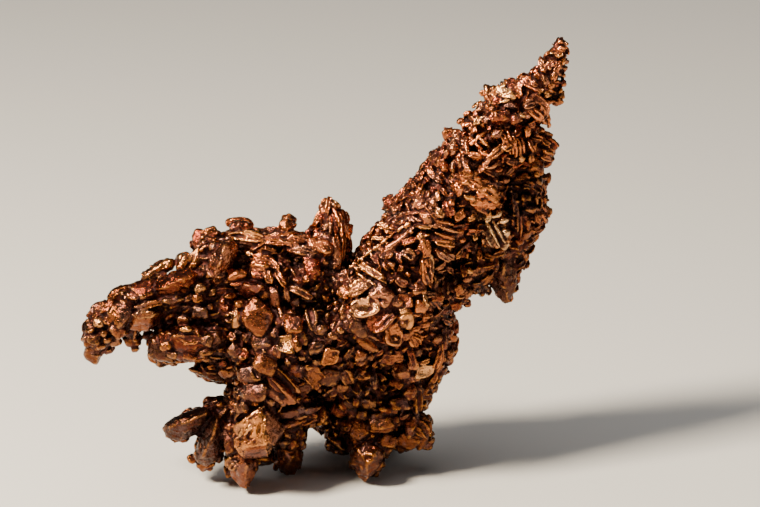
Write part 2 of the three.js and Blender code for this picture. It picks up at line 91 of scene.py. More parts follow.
# crystals: u, v, length, width, angle, height, thickness, tilt, habit, finish
# finish 0 dark tarnish .. 5 bright; letter: tone of the copper
CRYSTALS = [
    (90, 327, 20, 17, 70, 0, 14, 0, "egg", 2, "g"), (99, 323, 13, 12, 0, 1.6, 11, 0, "egg", 5, "y"),
    (91, 331, 8, 6, 20, 1.8, 6, 0, "egg", 4, "y"), (95, 339, 15, 12, 0, 0.6, 12, 0, "blk", 1, "g"),
    (94, 351, 24, 18, 65, 0, 16, -10, "blk", 2, "o"), (88, 340, 16, 12, 90, 0, 12, 0, "egg", 2, "o"),
    (104, 334, 8, 7, 30, 1.6, 6, 0, "egg", 4, "p"), (107, 340, 9, 7, 30, 1.4, 7, 0, "egg", 4, "p"),
    (101, 346, 10, 7, 10, 1, 7, 0, "blk", 3, "o"), (115, 341, 13, 11, 40, 1, 10, 0, "blk", 4, "p"),
    (117, 329, 20, 16, -50, 1.2, 12, 0, "blk", 3, "p"), (108, 322, 16, 9, -35, 1.2, 8, 0, "leaf", 3, "o"),
    (97, 309, 28, 14, 38, 0, 12, 10, "lens", 2, "o"), (109, 308, 18, 16, 20, 0.8, 14, 0, "blk", 2, "o"),
    (122, 313, 28, 22, 50, 1, 16, 0, "blk", 3, "o"), (123, 292, 36, 14, 20, -0.6, 14, 0, "lens", 2, "o"),
    (134, 296, 13, 12, 0, 1.4, 9, 0, "blk", 4, "p"), (148, 290, 32, 24, 20, 0.2, 18, 0, "blk", 2, "r"),
    (158, 270, 42, 13, 27, 0.2, 12, 0, "pris", 4, "y"), (162, 266, 30, 12, 20, -1.2, 12, 0, "lens", 2, "o"),
    (170, 284, 56, 32, 16, 1.2, 22, 0, "lens", 2, "r"), (172, 300, 28, 9, 8, 1.6, 8, 0, "lens", 2, "g"),
    (146, 319, 44, 27, 10, 1.6, 20, 0, "blk", 4, "y"), (151, 305, 40, 7, 11, 1.4, 7, 0, "rib", 3, "o"),
    (162, 322, 24, 11, 20, 0.8, 9, 0, "lens", 2, "r"), (133, 339, 18, 20, 80, -0.4, 14, 0, "egg", 2, "o"),
    (134, 347, 12, 10, 80, -0.6, 9, 0, "egg", 2, "o"), (148, 334, 11, 9, 0, -0.6, 8, 0, "blk", 1, "g"),
    (184, 262, 15, 20, -15, 0.8, 16, 0, "egg", 5, "y"), (196, 259, 11, 19, 35, 0.8, 14, 0, "egg", 5, "y"),
    (197, 278, 9, 16, 10, 1, 9, 0, "egg", 2, "g"), (200, 289, 13, 12, 30, 1.8, 9, 0, "leaf", 5, "y"),
    (198, 298, 12, 10, -20, 1.6, 8, 0, "egg", 4, "o"), (188, 297, 14, 9, 40, 0.8, 8, 0, "lens", 2, "o"),
    (200, 312, 19, 16, 0, 0.6, 14, 0, "blk", 2, "g"), (171, 316, 16, 10, 35, 0, 9, 0, "egg", 2, "r"),
    (184, 319, 14, 13, 0, 1.4, 12, 0, "blk", 4, "p"), (187, 306, 12, 9, 0, -0.6, 9, 0, "egg", 1, "r"),
    (196, 338, 44, 27, 4, 1.8, 22, 0, "blk", 4, "o"), (164, 348, 26, 30, 80, 0.8, 20, 0, "blk", 2, "g"),
    (158, 353, 20, 12, 70, 0.2, 12, 0, "rib", 2, "o"), (191, 355, 42, 9, 2, 1.2, 9, 0, "rib", 2, "o"),
    (213, 338, 22, 18, 40, 0.6, 16, 0, "egg", 2, "g"), (168, 333, 18, 9, 15, 1, 9, 0, "lens", 2, "o"),
    (153, 359, 12, 8, -30, 0, 8, 0, "egg", 2, "o"), (176, 361, 12, 6, 0, 0.2, 6, 0, "egg", 2, "o"),
    (202, 241, 22, 20, 70, -0.6, 18, 0, "blk", 2, "r"), (210, 233, 18, 13, 20, 0.4, 12, 0, "pris", 4, "o"),
    (214, 247, 11, 10, 0, 1, 8, 0, "blk", 2, "g"), (220, 262, 40, 25, 62, 1.6, 24, 0, "egg", 2, "o"),
    (206, 270, 12, 18, 70, 0.8, 12, 0, "egg", 2, "g"), (216, 273, 20, 15, 10, 2.2, 10, 0, "egg", 2, "g"),
    (240, 223, 30, 14, 0, -6, 14, 0, "egg", 2, "o"), (288, 222, 18, 17, 60, -7, 15, 0, "egg", 2, "o"),
    (281, 228, 12, 9, 40, -6, 9, 0, "egg", 2, "o"), (240, 259, 18, 21, 80, 1.4, 16, 0, "egg", 2, "g"),
    (237, 275, 20, 13, 0, 1.6, 12, 0, "blk", 3, "o"), (246, 236, 36, 8, 3, 1, 8, 0, "rib", 4, "y"),
    (246, 243, 34, 6, -8, 1.2, 6, 0, "rib", 3, "o"), (262, 231, 42, 6, -9, 0.4, 7, 0, "lens", 3, "o"),
    (286, 236, 30, 8, 18, 0.8, 8, 0, "rib", 3, "o"), (272, 240, 24, 7, -20, 0.8, 7, 0, "lens", 2, "o"),
    (258, 246, 22, 6, 38, 1.6, 6, 0, "rib", 4, "o"), (250, 253, 14, 6, 35, 1.8, 5, 0, "leaf", 4, "y"),
    (225, 246, 12, 10, 0, 1, 9, 0, "egg", 2, "o"), (230, 240, 16, 8, -40, 0.8, 8, 0, "lens", 2, "o"),
    (300, 238, 24, 10, 8, 1, 10, 0, "lens", 3, "p"), (298, 246, 18, 10, -15, 1, 9, 0, "egg", 2, "g"),
    (262, 266, 24, 24, 0, 1.4, 20, 0, "bean", 3, "o"), (257, 273, 14, 10, -30, 2.2, 8, 0, "egg", 2, "r"),
    (274, 265, 20, 8, -50, 2, 8, 0, "rib", 3, "o"), (282, 278, 20, 7, -62, 2, 7, 0, "rib", 3, "o"),
    (286, 292, 20, 6, -80, 1.6, 6, 0, "rib", 2, "p"), (268, 276, 16, 8, -75, 2, 8, 0, "rib", 3, "o"),
    (254, 290, 40, 17, -6, 1.2, 16, 0, "blk", 2, "r"), (248, 284, 32, 7, 2, 1.6, 6, 0, "lens", 3, "r"),
    (262, 292, 14, 16, 60, 1.4, 12, 0, "egg", 2, "o"), (275, 298, 11, 21, 3, 1.8, 11, 0, "pris", 2, "p"),
    (312, 267, 14, 25, 10, 1.4, 14, 0, "egg", 2, "r"), (307, 262, 10, 14, 0, 1.6, 9, 0, "egg", 2, "r"),
    (320, 247, 28, 16, -12, 1.2, 14, 0, "blk", 3, "o"), (317, 236, 14, 9, 15, 1, 8, 0, "egg", 3, "p"),
    (309, 277, 16, 10, 30, 1, 10, 0, "egg", 2, "r"), (300, 281, 14, 9, -20, 0.6, 9, 0, "egg", 2, "r"),
    (293, 249, 16, 8, -10, 0.8, 8, 0, "rib", 2, "r"), (334, 204, 15, 7, -48, 0.4, 7, 0, "leaf", 5, "y"),
    (329, 206, 22, 7, 82, 0.6, 7, 0, "leaf", 4, "o"), (322, 217, 30, 9, 58, 0.4, 9, 0, "leaf", 3, "o"),
    (316, 226, 24, 9, 38, 0.2, 9, 0, "rib", 3, "o"), (309, 232, 14, 9, 50, 0, 9, 0, "lens", 2, "r"),
    (337, 222, 36, 9, -72, 0.8, 9, 0, "leaf", 4, "o"), (330, 222, 26, 6, -88, 0.8, 6, 0, "lens", 2, "g"),
    (344, 231, 26, 6, -64, 0.4, 7, 0, "leaf", 3, "o"), (348, 245, 26, 6, -88, 0, 7, 0, "rib", 3, "o"),
    (342, 248, 34, 7, -93, 0.6, 8, 0, "rib", 3, "o"), (336, 253, 13, 33, -4, 1, 11, 0, "pris", 3, "p"),
    (325, 228, 13, 9, 10, 1, 8, 0, "egg", 2, "g"), (327, 238, 12, 12, 0, 0.4, 9, 0, "egg", 1, "g"),
    (346, 258, 14, 6, 60, 0, 6, 0, "lens", 2, "o"), (236, 319, 14, 20, 0, 2, 13, 0, "egg", 5, "y"),
    (257, 318, 27, 28, 60, 2.2, 22, 0, "blk", 2, "o"), (240, 304, 14, 9, 0, 1, 9, 0, "egg", 2, "o"),
    (262, 341, 20, 20, 30, 1.6, 18, 0, "blk", 2, "g"), (248, 336, 14, 14, 0, 0.8, 12, 0, "egg", 1, "g"),
    (236, 351, 14, 16, 40, 1.6, 12, 0, "blk", 2, "g"), (245, 353, 14, 13, -20, 1.8, 10, 0, "bean", 2, "r"),
    (274, 351, 14, 16, 80, 1.6, 13, 0, "blk", 2, "o"), (286, 344, 15, 15, 0, 2.4, 13, 0, "hop", 4, "y"),
    (297, 344, 9, 15, 18, 2.2, 9, 0, "egg", 4, "o"), (278, 317, 14, 24, 25, 1.8, 12, 0, "rib", 2, "o"),
    (284, 322, 10, 18, 50, 2.2, 9, 0, "egg", 2, "r"), (294, 325, 17, 20, 0, 2, 14, 0, "blk", 2, "o"),
    (303, 336, 7, 18, 20, 1.8, 8, 0, "lens", 2, "g"), (311, 320, 11, 22, 8, 1.2, 10, 0, "bean", 2, "g"),
    (320, 329, 14, 11, 0, 1.4, 10, 0, "egg", 2, "g"), (317, 347, 17, 13, 20, 1.4, 12, 0, "egg", 2, "g"),
    (330, 356, 14, 16, 0, 2, 12, 0, "hop", 4, "o"), (297, 370, 14, 19, 15, 1.4, 12, 0, "egg", 2, "r"),
    (265, 364, 22, 18, -20, 2, 16, 0, "blk", 2, "o"), (314, 374, 16, 30, 28, 2, 16, 0, "hop", 3, "o"),
    (330, 375, 18, 19, -20, 1.4, 16, 0, "blk", 2, "g"), (250, 374, 22, 15, 10, 1.6, 14, 0, "blk", 2, "g"),
    (228, 372, 22, 14, 10, 1, 13, 0, "egg", 2, "o"), (203, 371, 34, 10, -8, 0, 10, -15, "lens", 1, "g"),
    (214, 376, 24, 12, -20, 0, 12, 0, "lens", 1, "g"), (256, 391, 18, 20, 70, 1.6, 16, 0, "blk", 2, "g"),
    (243, 408, 15, 12, 20, 1.4, 12, 0, "blk", 2, "g"), (246, 395, 12, 14, 0, 0.6, 10, 0, "egg", 1, "g"),
    (232, 392, 18, 16, 0, -1, 14, 0, "egg", 0, "g"), (279, 388, 48, 26, -46, 2.4, 20, 0, "bean", 2, "r"),
    (270, 397, 30, 9, -44, 2.6, 9, 0, "rib", 3, "r"), (286, 376, 30, 8, -40, 2.2, 8, 0, "rib", 2, "g"),
    (271, 402, 12, 9, -30, 1.4, 8, 0, "egg", 2, "g"), (268, 302, 12, 8, 20, 1, 8, 0, "egg", 2, "o"),
    (291, 313, 9, 8, 0, 1.4, 7, 0, "egg", 2, "o"), (296, 303, 10, 12, 0, 1, 9, 0, "egg", 1, "g"),
    (268, 328, 9, 9, 0, 1.8, 8, 0, "egg", 2, "p"), (275, 332, 9, 12, 0, 1.6, 8, 0, "egg", 2, "r"),
    (287, 361, 8, 9, 0, 1.4, 8, 0, "egg", 2, "g"), (302, 357, 8, 7, 0, 1.2, 7, 0, "egg", 2, "g"),
    (318, 361, 12, 9, 30, 1.2, 8, 0, "egg", 2, "g"), (304, 352, 9, 8, 0, 0.8, 8, 0, "egg", 1, "g"),
    (303, 388, 16, 12, 40, 1, 11, 0, "blk", 2, "g"), (322, 394, 24, 8, 20, 0.8, 8, 0, "rib", 2, "g"),
    (333, 389, 18, 9, 35, 1, 8, 0, "rib", 2, "g"), (345, 376, 12, 20, 25, 1, 10, 0, "rib", 2, "o"),
    (300, 292, 26, 8, -24, 1.6, 8, 0, "rib", 3, "p"), (340, 330, 9, 8, 0, 1.6, 8, 0, "egg", 2, "p"),
    (333, 336, 9, 8, 0, 1.4, 8, 0, "egg", 2, "p"), (347, 322, 8, 16, 10, 1.4, 8, 0, "lens", 2, "g"),
    (186, 424, 50, 25, 17, 0.6, 20, -8, "pris", 2, "g"), (170, 429, 16, 16, 40, 0.4, 13, 0, "egg", 3, "o"),
    (184, 437, 14, 12, 70, 0, 11, 0, "egg", 2, "o"), (212, 436, 20, 58, -24, 1.2, 18, 0, "pris", 2, "g"),
    (206, 463, 20, 14, 30, 1.2, 13, 0, "blk", 3, "o"), (192, 459, 12, 10, -30, 1, 9, 0, "egg", 3, "o"),
    (208, 468, 11, 8, 0, 1, 8, 0, "egg", 2, "o"), (212, 402, 20, 11, -5, 0.4, 11, 0, "blk", 2, "r"),
    (219, 456, 10, 16, -10, 0.2, 10, 0, "egg", 1, "g"), (256, 433, 48, 42, 38, 3.2, 30, 0, "blk", 4, "o"),
    (270, 427, 18, 26, 10, 3.8, 12, 0, "pris", 3, "p"), (258, 453, 36, 10, 8, 2.2, 12, 0, "blk", 2, "o"),
    (230, 440, 12, 26, 8, 1.2, 12, 0, "blk", 2, "g"), (229, 426, 14, 10, 20, 1.2, 9, 0, "egg", 3, "r"),
    (238, 470, 26, 40, 22, 1.2, 18, 0, "lens", 2, "o"), (232, 462, 16, 18, -40, 2, 10, 0, "leaf", 4, "y"),
    (249, 472, 11, 34, 6, 0.6, 12, 0, "lens", 2, "o"), (244, 484, 16, 15, 60, 0.4, 12, 0, "egg", 2, "o"),
    (288, 462, 20, 30, 16, 0.2, 15, 0, "lens", 2, "o"), (278, 456, 18, 13, -20, 0.4, 12, 0, "blk", 2, "o"),
    (293, 444, 12, 18, -10, 0, 11, 0, "egg", 2, "r"), (284, 442, 16, 14, 0, 0.2, 12, 0, "egg", 1, "g"),
    (298, 411, 50, 15, 4, 1.6, 15, 0, "lens", 2, "g"), (292, 423, 36, 11, 12, 1.2, 12, 0, "lens", 2, "o"),
    (322, 410, 9, 26, -8, 1.4, 11, 0, "lens", 2, "r"), (310, 421, 26, 9, 22, 1, 9, 0, "lens", 2, "o"),
    (343, 406, 16, 17, 60, 1.2, 13, 0, "egg", 2, "r"), (356, 402, 11, 13, 0, 1, 10, 0, "egg", 2, "r"),
    (370, 400, 10, 14, 0, 0.6, 10, 0, "egg", 2, "r"), (362, 414, 14, 14, 0, 1.4, 11, 0, "blk", 2, "g"),
    (357, 428, 24, 30, 35, 1.4, 16, 0, "blk", 2, "o"), (377, 416, 17, 13, 5, 1, 11, 0, "egg", 2, "g"),
    (381, 428, 24, 10, 5, 1.2, 10, 0, "blk", 2, "o"), (387, 440, 24, 15, -15, 0.8, 13, 0, "blk", 2, "o"),
    (394, 420, 14, 10, 10, 1, 9, 0, "egg", 2, "r"), (408, 438, 24, 24, -30, 1, 18, 0, "blk", 2, "o"),
    (420, 428, 26, 22, -42, 1, 14, 0, "bean", 2, "o"), (423, 418, 18, 12, -30, 1.2, 9, 0, "egg", 2, "p"),
    (404, 416, 18, 8, 25, 1.2, 8, 0, "lens", 2, "r"), (426, 441, 14, 6, 5, 0.6, 9, 0, "lens", 2, "o"),
    (404, 448, 18, 9, 8, 0.4, 11, 0, "egg", 2, "o"), (339, 446, 30, 15, -42, 0, 13, 0, "lens", 2, "g"),
    (332, 440, 16, 8, -10, 0, 9, 0, "rib", 2, "o"), (368, 460, 30, 31, 20, 1.6, 20, 0, "bean", 2, "o"),
    (358, 463, 14, 18, 10, 2, 12, 0, "egg", 2, "o"), (377, 460, 13, 26, 8, 1.8, 12, 0, "egg", 2, "o"),
    (365, 449, 18, 8, 10, 1.8, 9, 0, "egg", 2, "p"), (364, 475, 13, 10, -40, 0.6, 10, 0, "blk", 2, "o"),
    (330, 427, 30, 9, 8, 0, 9, 0, "lens", 2, "o"), (320, 430, 14, 8, -20, 0, 8, 0, "egg", 2, "r"),
    (418, 396, 10, 34, 6, 0.8, 10, 0, "rib", 2, "o"), (411, 392, 16, 14, 60, 0.8, 11, 0, "egg", 2, "r"),
    (375, 383, 9, 11, 0, 0.6, 9, 0, "egg", 1, "r"), (365, 307, 26, 17, 8, 2.6, 11, 0, "hop", 5, "y"),
    (360, 289, 24, 13, 30, 2.2, 10, 0, "rib", 4, "y"), (353, 283, 12, 10, 40, 1.6, 8, 0, "rib", 2, "g"),
    (372, 273, 34, 8, -30, 2.2, 8, 0, "rib", 4, "y"), (366, 279, 24, 4, -30, 2.2, 5, 0, "lens", 4, "y"),
    (374, 286, 11, 9, -30, 1.6, 8, 0, "hop", 3, "g"), (382, 295, 22, 17, -42, 2, 13, 0, "blk", 3, "p"),
    (376, 303, 14, 11, 10, 1.8, 9, 0, "blk", 2, "g"), (384, 320, 34, 20, 38, 2, 15, 0, "bean", 3, "r"),
    (393, 331, 16, 25, -5, 2.8, 13, 0, "hop", 4, "o"), (406, 318, 14, 22, 22, 2.2, 12, 0, "egg", 4, "y"),
    (404, 322, 9, 13, 10, 2.8, 6, 0, "egg", 2, "g"), (396, 302, 11, 11, 30, 1.6, 9, 0, "blk", 3, "o"),
    (405, 301, 13, 12, 0, 1.2, 10, 0, "hop", 2, "o"), (357, 325, 16, 30, 38, 1.6, 13, 0, "lens", 2, "g"),
    (366, 343, 26, 10, -33, 1.6, 10, 0, "lens", 2, "o"), (371, 337, 16, 5, -25, 1.2, 6, 0, "lens", 2, "g"),
    (344, 311, 11, 17, 5, 1.4, 10, 0, "egg", 2, "p"), (343, 277, 16, 16, -30, 1.6, 12, 0, "blk", 2, "p"),
    (345, 293, 14, 13, -40, 1.6, 11, 0, "blk", 3, "o"), (337, 283, 16, 9, -60, 1, 9, 0, "lens", 2, "g"),
    (349, 287, 6, 26, 20, 1.4, 7, 0, "rib", 2, "p"), (415, 339, 16, 14, -50, 1.6, 10, 0, "leaf", 4, "o"),
    (404, 335, 12, 6, 10, 1.4, 6, 0, "egg", 3, "r"), (425, 300, 6, 14, 18, 2, 6, 0, "leaf", 5, "y"),
    (421, 306, 12, 12, 0, 1.2, 9, 0, "blk", 4, "o"), (419, 289, 13, 12, 0, 1, 10, 0, "blk", 3, "o"),
    (436, 296, 13, 11, 0, 1, 9, 0, "blk", 3, "r"), (437, 356, 9, 32, -12, 1, 9, 0, "leaf", 3, "o"),
    (444, 338, 9, 28, -14, 0.6, 9, 0, "leaf", 2, "r"), (438, 339, 12, 9, 40, 1, 8, 0, "egg", 2, "p"),
    (448, 332, 10, 10, 0, 0.2, 9, 0, "egg", 2, "r"), (394, 357, 26, 9, -8, 1.6, 8, 0, "leaf", 3, "o"),
    (388, 360, 16, 9, -5, 1.4, 8, 0, "egg", 2, "r"), (402, 370, 18, 17, 0, 1.8, 12, 0, "egg", 3, "o"),
    (396, 370, 9, 11, 0, 2, 8, 0, "egg", 4, "o"), (424, 370, 17, 13, 10, 2, 11, 0, "hop", 5, "y"),
    (425, 362, 12, 6, 20, 1.6, 5, 0, "leaf", 4, "y"), (412, 357, 8, 22, 12, 2, 8, 0, "leaf", 3, "r"),
    (418, 352, 9, 10, 0, 1.4, 8, 0, "egg", 2, "g"), (412, 376, 9, 14, 30, 1.2, 8, 0, "leaf", 3, "o"),
    (413, 365, 10, 10, 0, 2.2, 7, 0, "blk", 3, "o"), (360, 355, 12, 12, 0, 0.8, 10, 0, "egg", 2, "o"),
    (361, 363, 9, 6, 10, 1, 6, 0, "egg", 2, "o"), (342, 388, 14, 11, 20, 1.4, 9, 0, "egg", 2, "p"),
    (353, 265, 11, 4.5, 38, 2, 5, 0, "pris", 4, "y"), (361, 259, 11, 4.5, 38, 2, 5, 0, "pris", 4, "y"),
    (369, 253, 11, 4.5, 38, 2, 5, 0, "pris", 4, "y"), (377, 247, 11, 4.5, 38, 2, 5, 0, "pris", 4, "y"),
    (385, 241, 11, 4.5, 38, 2, 5, 0, "pris", 4, "y"), (392, 235, 11, 4.5, 38, 2, 5, 0, "pris", 4, "y"),
    (400, 229, 11, 4.5, 38, 2, 5, 0, "pris", 4, "y"), (407, 225, 11, 4.5, 38, 2, 5, 0, "pris", 4, "y"),
    (383, 227, 18, 9, -28, 1, 7, 0, "bean", 4, "y"), (377, 238, 18, 7, -4, 1, 6, 0, "leaf", 4, "y"),
    (370, 249, 10, 5, 20, 1, 5, 0, "lens", 4, "o"), (363, 252, 8, 5, 60, 1, 5, 0, "egg", 3, "g"),
    (356, 256, 8, 4, 60, 1, 5, 0, "egg", 2, "g"), (392, 228, 13, 6, -30, 1.2, 6, 0, "leaf", 3, "o"),
    (402, 222, 16, 8, 10, 1.2, 8, 0, "lens", 2, "g"), (366, 263, 14, 5, -50, 1.4, 6, 0, "leaf", 3, "g"),
    (373, 260, 14, 5, -46, 1.4, 6, 0, "leaf", 3, "g"), (380, 256, 14, 5, -46, 1.4, 6, 0, "leaf", 2, "g"),
    (387, 259, 15, 8, -40, 1, 8, 0, "egg", 1, "g"), (391, 264, 9, 6, 0, 1.2, 6, 0, "egg", 2, "p"),
    (398, 241, 38, 9, 38, 2, 9, 0, "pris", 3, "p"), (392, 253, 20, 8, 55, 1.4, 8, 0, "lens", 2, "o"),
    (409, 241, 20, 7, 18, 1.8, 7, 0, "leaf", 3, "r"), (409, 255, 15, 11, -20, 2.2, 9, 0, "bean", 3, "p"),
    (399, 257, 7, 14, 5, 1.8, 6, 0, "leaf", 3, "r"), (417, 252, 9, 7, -30, 1.4, 7, 0, "egg", 2, "r"),
    (425, 246, 13, 22, 4, 2.2, 11, 0, "blk", 3, "o"), (420, 236, 9, 8, -40, 2, 7, 0, "leaf", 4, "y"),
    (427, 236, 9, 5, 15, 2.2, 5, 0, "leaf", 4, "y"), (427, 270, 13, 28, 16, 2.4, 11, 0, "leaf", 4, "o"),
    (432, 266, 5, 24, 16, 2.8, 5, 0, "lens", 5, "y"), (436, 282, 7, 16, 12, 1, 7, 0, "lens", 2, "g"),
    (444, 243, 26, 8, -12, 2.2, 8, 0, "leaf", 4, "o"), (444, 253, 28, 11, -28, 2, 10, 0, "leaf", 4, "p"),
    (440, 265, 18, 7, 40, 1.4, 7, 0, "leaf", 3, "p"), (445, 236, 24, 5, -14, 2, 6, 0, "lens", 3, "o"),
    (447, 229, 28, 5, -14, 2, 6, 0, "lens", 3, "p"), (442, 222, 26, 5, -12, 1.8, 6, 0, "lens", 3, "o"),
    (437, 240, 16, 5, 2, 1.6, 6, 0, "lens", 2, "r"), (460, 231, 9, 8, 0, 1.4, 7, 0, "egg", 3, "r"),
    (421, 203, 22, 15, 42, 2.2, 11, 0, "leaf", 4, "p"), (427, 196, 14, 10, 80, 1.8, 8, 0, "leaf", 3, "o"),
    (433, 202, 10, 15, 15, 1.8, 8, 0, "blk", 3, "p"), (438, 196, 6, 15, 10, 1.6, 6, 0, "lens", 3, "y"),
    (391, 203, 20, 14, 15, 0.4, 12, 0, "blk", 2, "r"), (396, 198, 18, 6, 10, 0.8, 6, 0, "rib", 3, "o"),
    (386, 207, 10, 8, 40, 0.2, 8, 0, "egg", 2, "o"), (391, 214, 14, 5, 5, 0.2, 6, 0, "egg", 2, "g"),
    (388, 220, 6, 7, 0, -0.2, 6, 0, "egg", 2, "p"), (395, 217, 6, 6, 0, -0.2, 6, 0, "egg", 2, "g"),
    (405, 191, 16, 9, 15, 0.4, 8, 0, "egg", 3, "o"), (413, 194, 10, 7, -20, 0.8, 7, 0, "egg", 2, "o"),
    (404, 215, 20, 8, 15, 1.4, 8, 0, "lens", 2, "g"), (414, 213, 22, 6, 5, 1.8, 6, 0, "leaf", 3, "o"),
    (414, 218, 18, 4, -30, 1.8, 5, 0, "lens", 3, "p"), (409, 219, 16, 4, -30, 1.6, 5, 0, "lens", 3, "p"),
    (427, 216, 17, 17, 0, 1.8, 11, 0, "egg", 3, "o"), (431, 212, 20, 7, -50, 2.2, 6, 0, "leaf", 3, "o"),
    (439, 214, 14, 9, -45, 2, 8, 0, "bean", 3, "y"), (447, 209, 13, 20, 20, 2, 11, 0, "leaf", 3, "r"),
    (451, 204, 8, 12, 10, 2.2, 7, 0, "egg", 3, "o"), (423, 227, 18, 5, -8, 1.6, 5, 0, "lens", 3, "y"),
    (410, 230, 20, 5, 36, 1.8, 5, 0, "pris", 3, "o"), (434, 226, 12, 6, -10, 1.4, 6, 0, "egg", 3, "p"),
    (462, 240, 8, 8, 0, 1.4, 7, 0, "egg", 3, "r"), (459, 216, 14, 10, 30, 1.4, 8, 0, "blk", 3, "o"),
    (470, 217, 12, 7, 40, 1.2, 7, 0, "leaf", 3, "y"), (474, 237, 7, 9, 20, 1, 6, 0, "leaf", 4, "y"),
    (462, 270, 7, 18, 15, 1, 7, 0, "leaf", 3, "r"), (469, 271, 10, 7, -20, 1.2, 6, 0, "egg", 4, "y"),
    (467, 279, 12, 9, 20, 0.8, 8, 0, "egg", 3, "p"), (467, 293, 12, 13, 10, 0.6, 11, 0, "egg", 3, "p"),
    (458, 289, 12, 12, 30, 0.6, 10, 0, "blk", 2, "o"), (455, 303, 16, 12, 0, 0.4, 12, 0, "blk", 2, "r"),
    (467, 303, 9, 9, 0, 0, 9, 0, "egg", 2, "r"), (478, 268, 9, 8, 30, 0.4, 7, 0, "egg", 3, "r"),
    (455, 283, 6, 22, 8, 0.2, 7, 0, "lens", 2, "g"), (447, 283, 6, 22, 0, 0.2, 7, 0, "lens", 1, "g"),
    (441, 288, 6, 18, -4, 0.2, 7, 0, "lens", 2, "g"), (473, 247, 9, 24, 8, 0.4, 8, 0, "lens", 2, "g"),
    (480, 254, 6, 16, 0, 0.4, 6, 0, "lens", 2, "o"), (464, 254, 7, 12, 0, 0.6, 7, 0, "lens", 2, "r"),
    (480, 187, 48, 17, -27, 2, 13, 0, "blk", 4, "o"), (470, 181, 26, 8, -30, 2.4, 7, 0, "lens", 4, "o"),
    (482, 203, 32, 12, -10, 2, 11, 0, "blk", 4, "o"), (470, 198, 14, 7, -20, 2.2, 6, 0, "egg", 4, "y"),
    (459, 188, 16, 14, 30, 1.6, 11, 0, "blk", 3, "o"), (466, 189, 9, 9, 0, 2.2, 6, 0, "egg", 2, "g"),
    (478, 208, 30, 8, -28, 1.4, 8, 0, "lens", 2, "r"), (487, 213, 10, 8, 50, 1.8, 7, 0, "leaf", 4, "y"),
    (492, 217, 12, 9, 25, 2.6, 7, 0, "leaf", 5, "y"), (497, 215, 10, 6, 40, 2.6, 5, 0, "leaf", 5, "y"),
    (500, 228, 11, 11, 50, 2.4, 8, 0, "leaf", 5, "y"), (503, 243, 9, 13, -5, 2.2, 8, 0, "egg", 5, "y"),
    (486, 232, 4, 26, 25, 2.4, 5, 0, "lens", 5, "y"), (490, 231, 4, 28, 25, 2.2, 5, 0, "lens", 4, "o"),
    (494, 229, 4, 26, 25, 2.2, 5, 0, "lens", 4, "y"), (498, 238, 8, 18, 20, 1.8, 7, 0, "leaf", 3, "p"),
    (483, 240, 4, 12, 5, 2, 5, 0, "leaf", 4, "y"), (492, 244, 14, 7, -20, 1.8, 6, 0, "egg", 3, "g"),
    (455, 146, 15, 28, -12, 1.6, 13, 0, "egg", 3, "p"), (465, 147, 10, 26, 14, 1.6, 10, 0, "bean", 3, "p"),
    (449, 134, 14, 15, 50, -0.6, 13, 0, "egg", 2, "o"), (457, 134, 14, 12, 0, 0.8, 10, 0, "egg", 3, "p"),
    (461, 163, 10, 16, 12, 1.8, 9, 0, "rib", 3, "p"), (466, 166, 7, 18, 22, 2, 7, 0, "leaf", 3, "o"),
    (453, 167, 8, 14, 0, 1.2, 8, 0, "egg", 2, "g"), (479, 137, 20, 6, 38, 1.8, 6, 0, "leaf", 3, "o"),
    (474, 143, 14, 7, 30, 1.8, 6, 0, "leaf", 4, "o"), (484, 142, 18, 5, -38, 2.2, 5, 0, "lens", 4, "y"),
    (480, 148, 16, 4, -45, 2, 5, 0, "lens", 3, "o"), (476, 156, 18, 7, -12, 2, 7, 0, "rib", 4, "o"),
    (484, 153, 14, 6, -30, 2, 6, 0, "lens", 4, "o"), (490, 163, 20, 10, 8, 2.2, 9, 0, "bean", 3, "p"),
    (498, 151, 38, 9, 34, 2.4, 8, 0, "leaf", 4, "o"), (497, 134, 11, 11, 0, 2, 10, 0, "blk", 2, "g"),
    (503, 140, 5, 24, 28, 2, 6, 0, "leaf", 4, "o"), (507.2, 141.6, 5, 27, 26, 2.3, 6, 0, "leaf", 4, "o"),
    (511.4, 143.2, 5, 30, 24, 2, 6, 0, "leaf", 4, "o"), (515.6, 144.8, 5, 27, 22, 2.3, 6, 0, "leaf", 4, "o"),
    (519.8, 146.4, 5, 24, 20, 2, 6, 0, "leaf", 4, "o"), (524, 148, 5, 21, 18, 2.3, 6, 0, "leaf", 4, "o"),
    (507, 148, 16, 8, 10, 2.8, 6, 0, "leaf", 4, "y"), (521, 158, 8, 12, 20, 2, 6, 0, "egg", 4, "y"),
    (536, 166, 17, 22, 10, 1.6, 12, 0, "egg", 3, "o"), (530, 157, 7, 16, 10, 1.6, 7, 0, "leaf", 3, "o"),
    (537, 172, 14, 8, -10, 1.8, 7, 0, "egg", 4, "o"), (548, 151, 18, 9, -25, 0.8, 8, 0, "leaf", 3, "o"),
    (546, 158, 16, 6, -20, 1, 6, 0, "leaf", 4, "o"), (536, 139, 16, 8, -8, 1.8, 8, 0, "bean", 4, "o"),
    (526, 131, 8, 14, 10, 1.4, 7, 0, "leaf", 4, "o"), (545, 144, 14, 8, -30, 1, 7, 0, "leaf", 3, "o"),
    (531, 146, 8, 16, 30, 1.6, 7, 0, "leaf", 3, "o"), (540, 130, 10, 9, 0, 1.2, 8, 0, "egg", 3, "o"),
    (508, 94, 22, 11, -12, 1.8, 9, 0, "leaf", 5, "y"), (502, 89, 12, 9, 20, 1.6, 8, 0, "blk", 5, "y"),
    (504, 101, 14, 5, 22, 2, 5, 0, "lens", 5, "y"), (488, 91, 10, 12, -10, 1.2, 9, 0, "blk", 4, "y"),
    (493, 90, 8, 10, 0, 1.4, 8, 0, "egg", 5, "y"), (483, 93, 7, 8, 0, 1, 7, 0, "egg", 4, "o"),
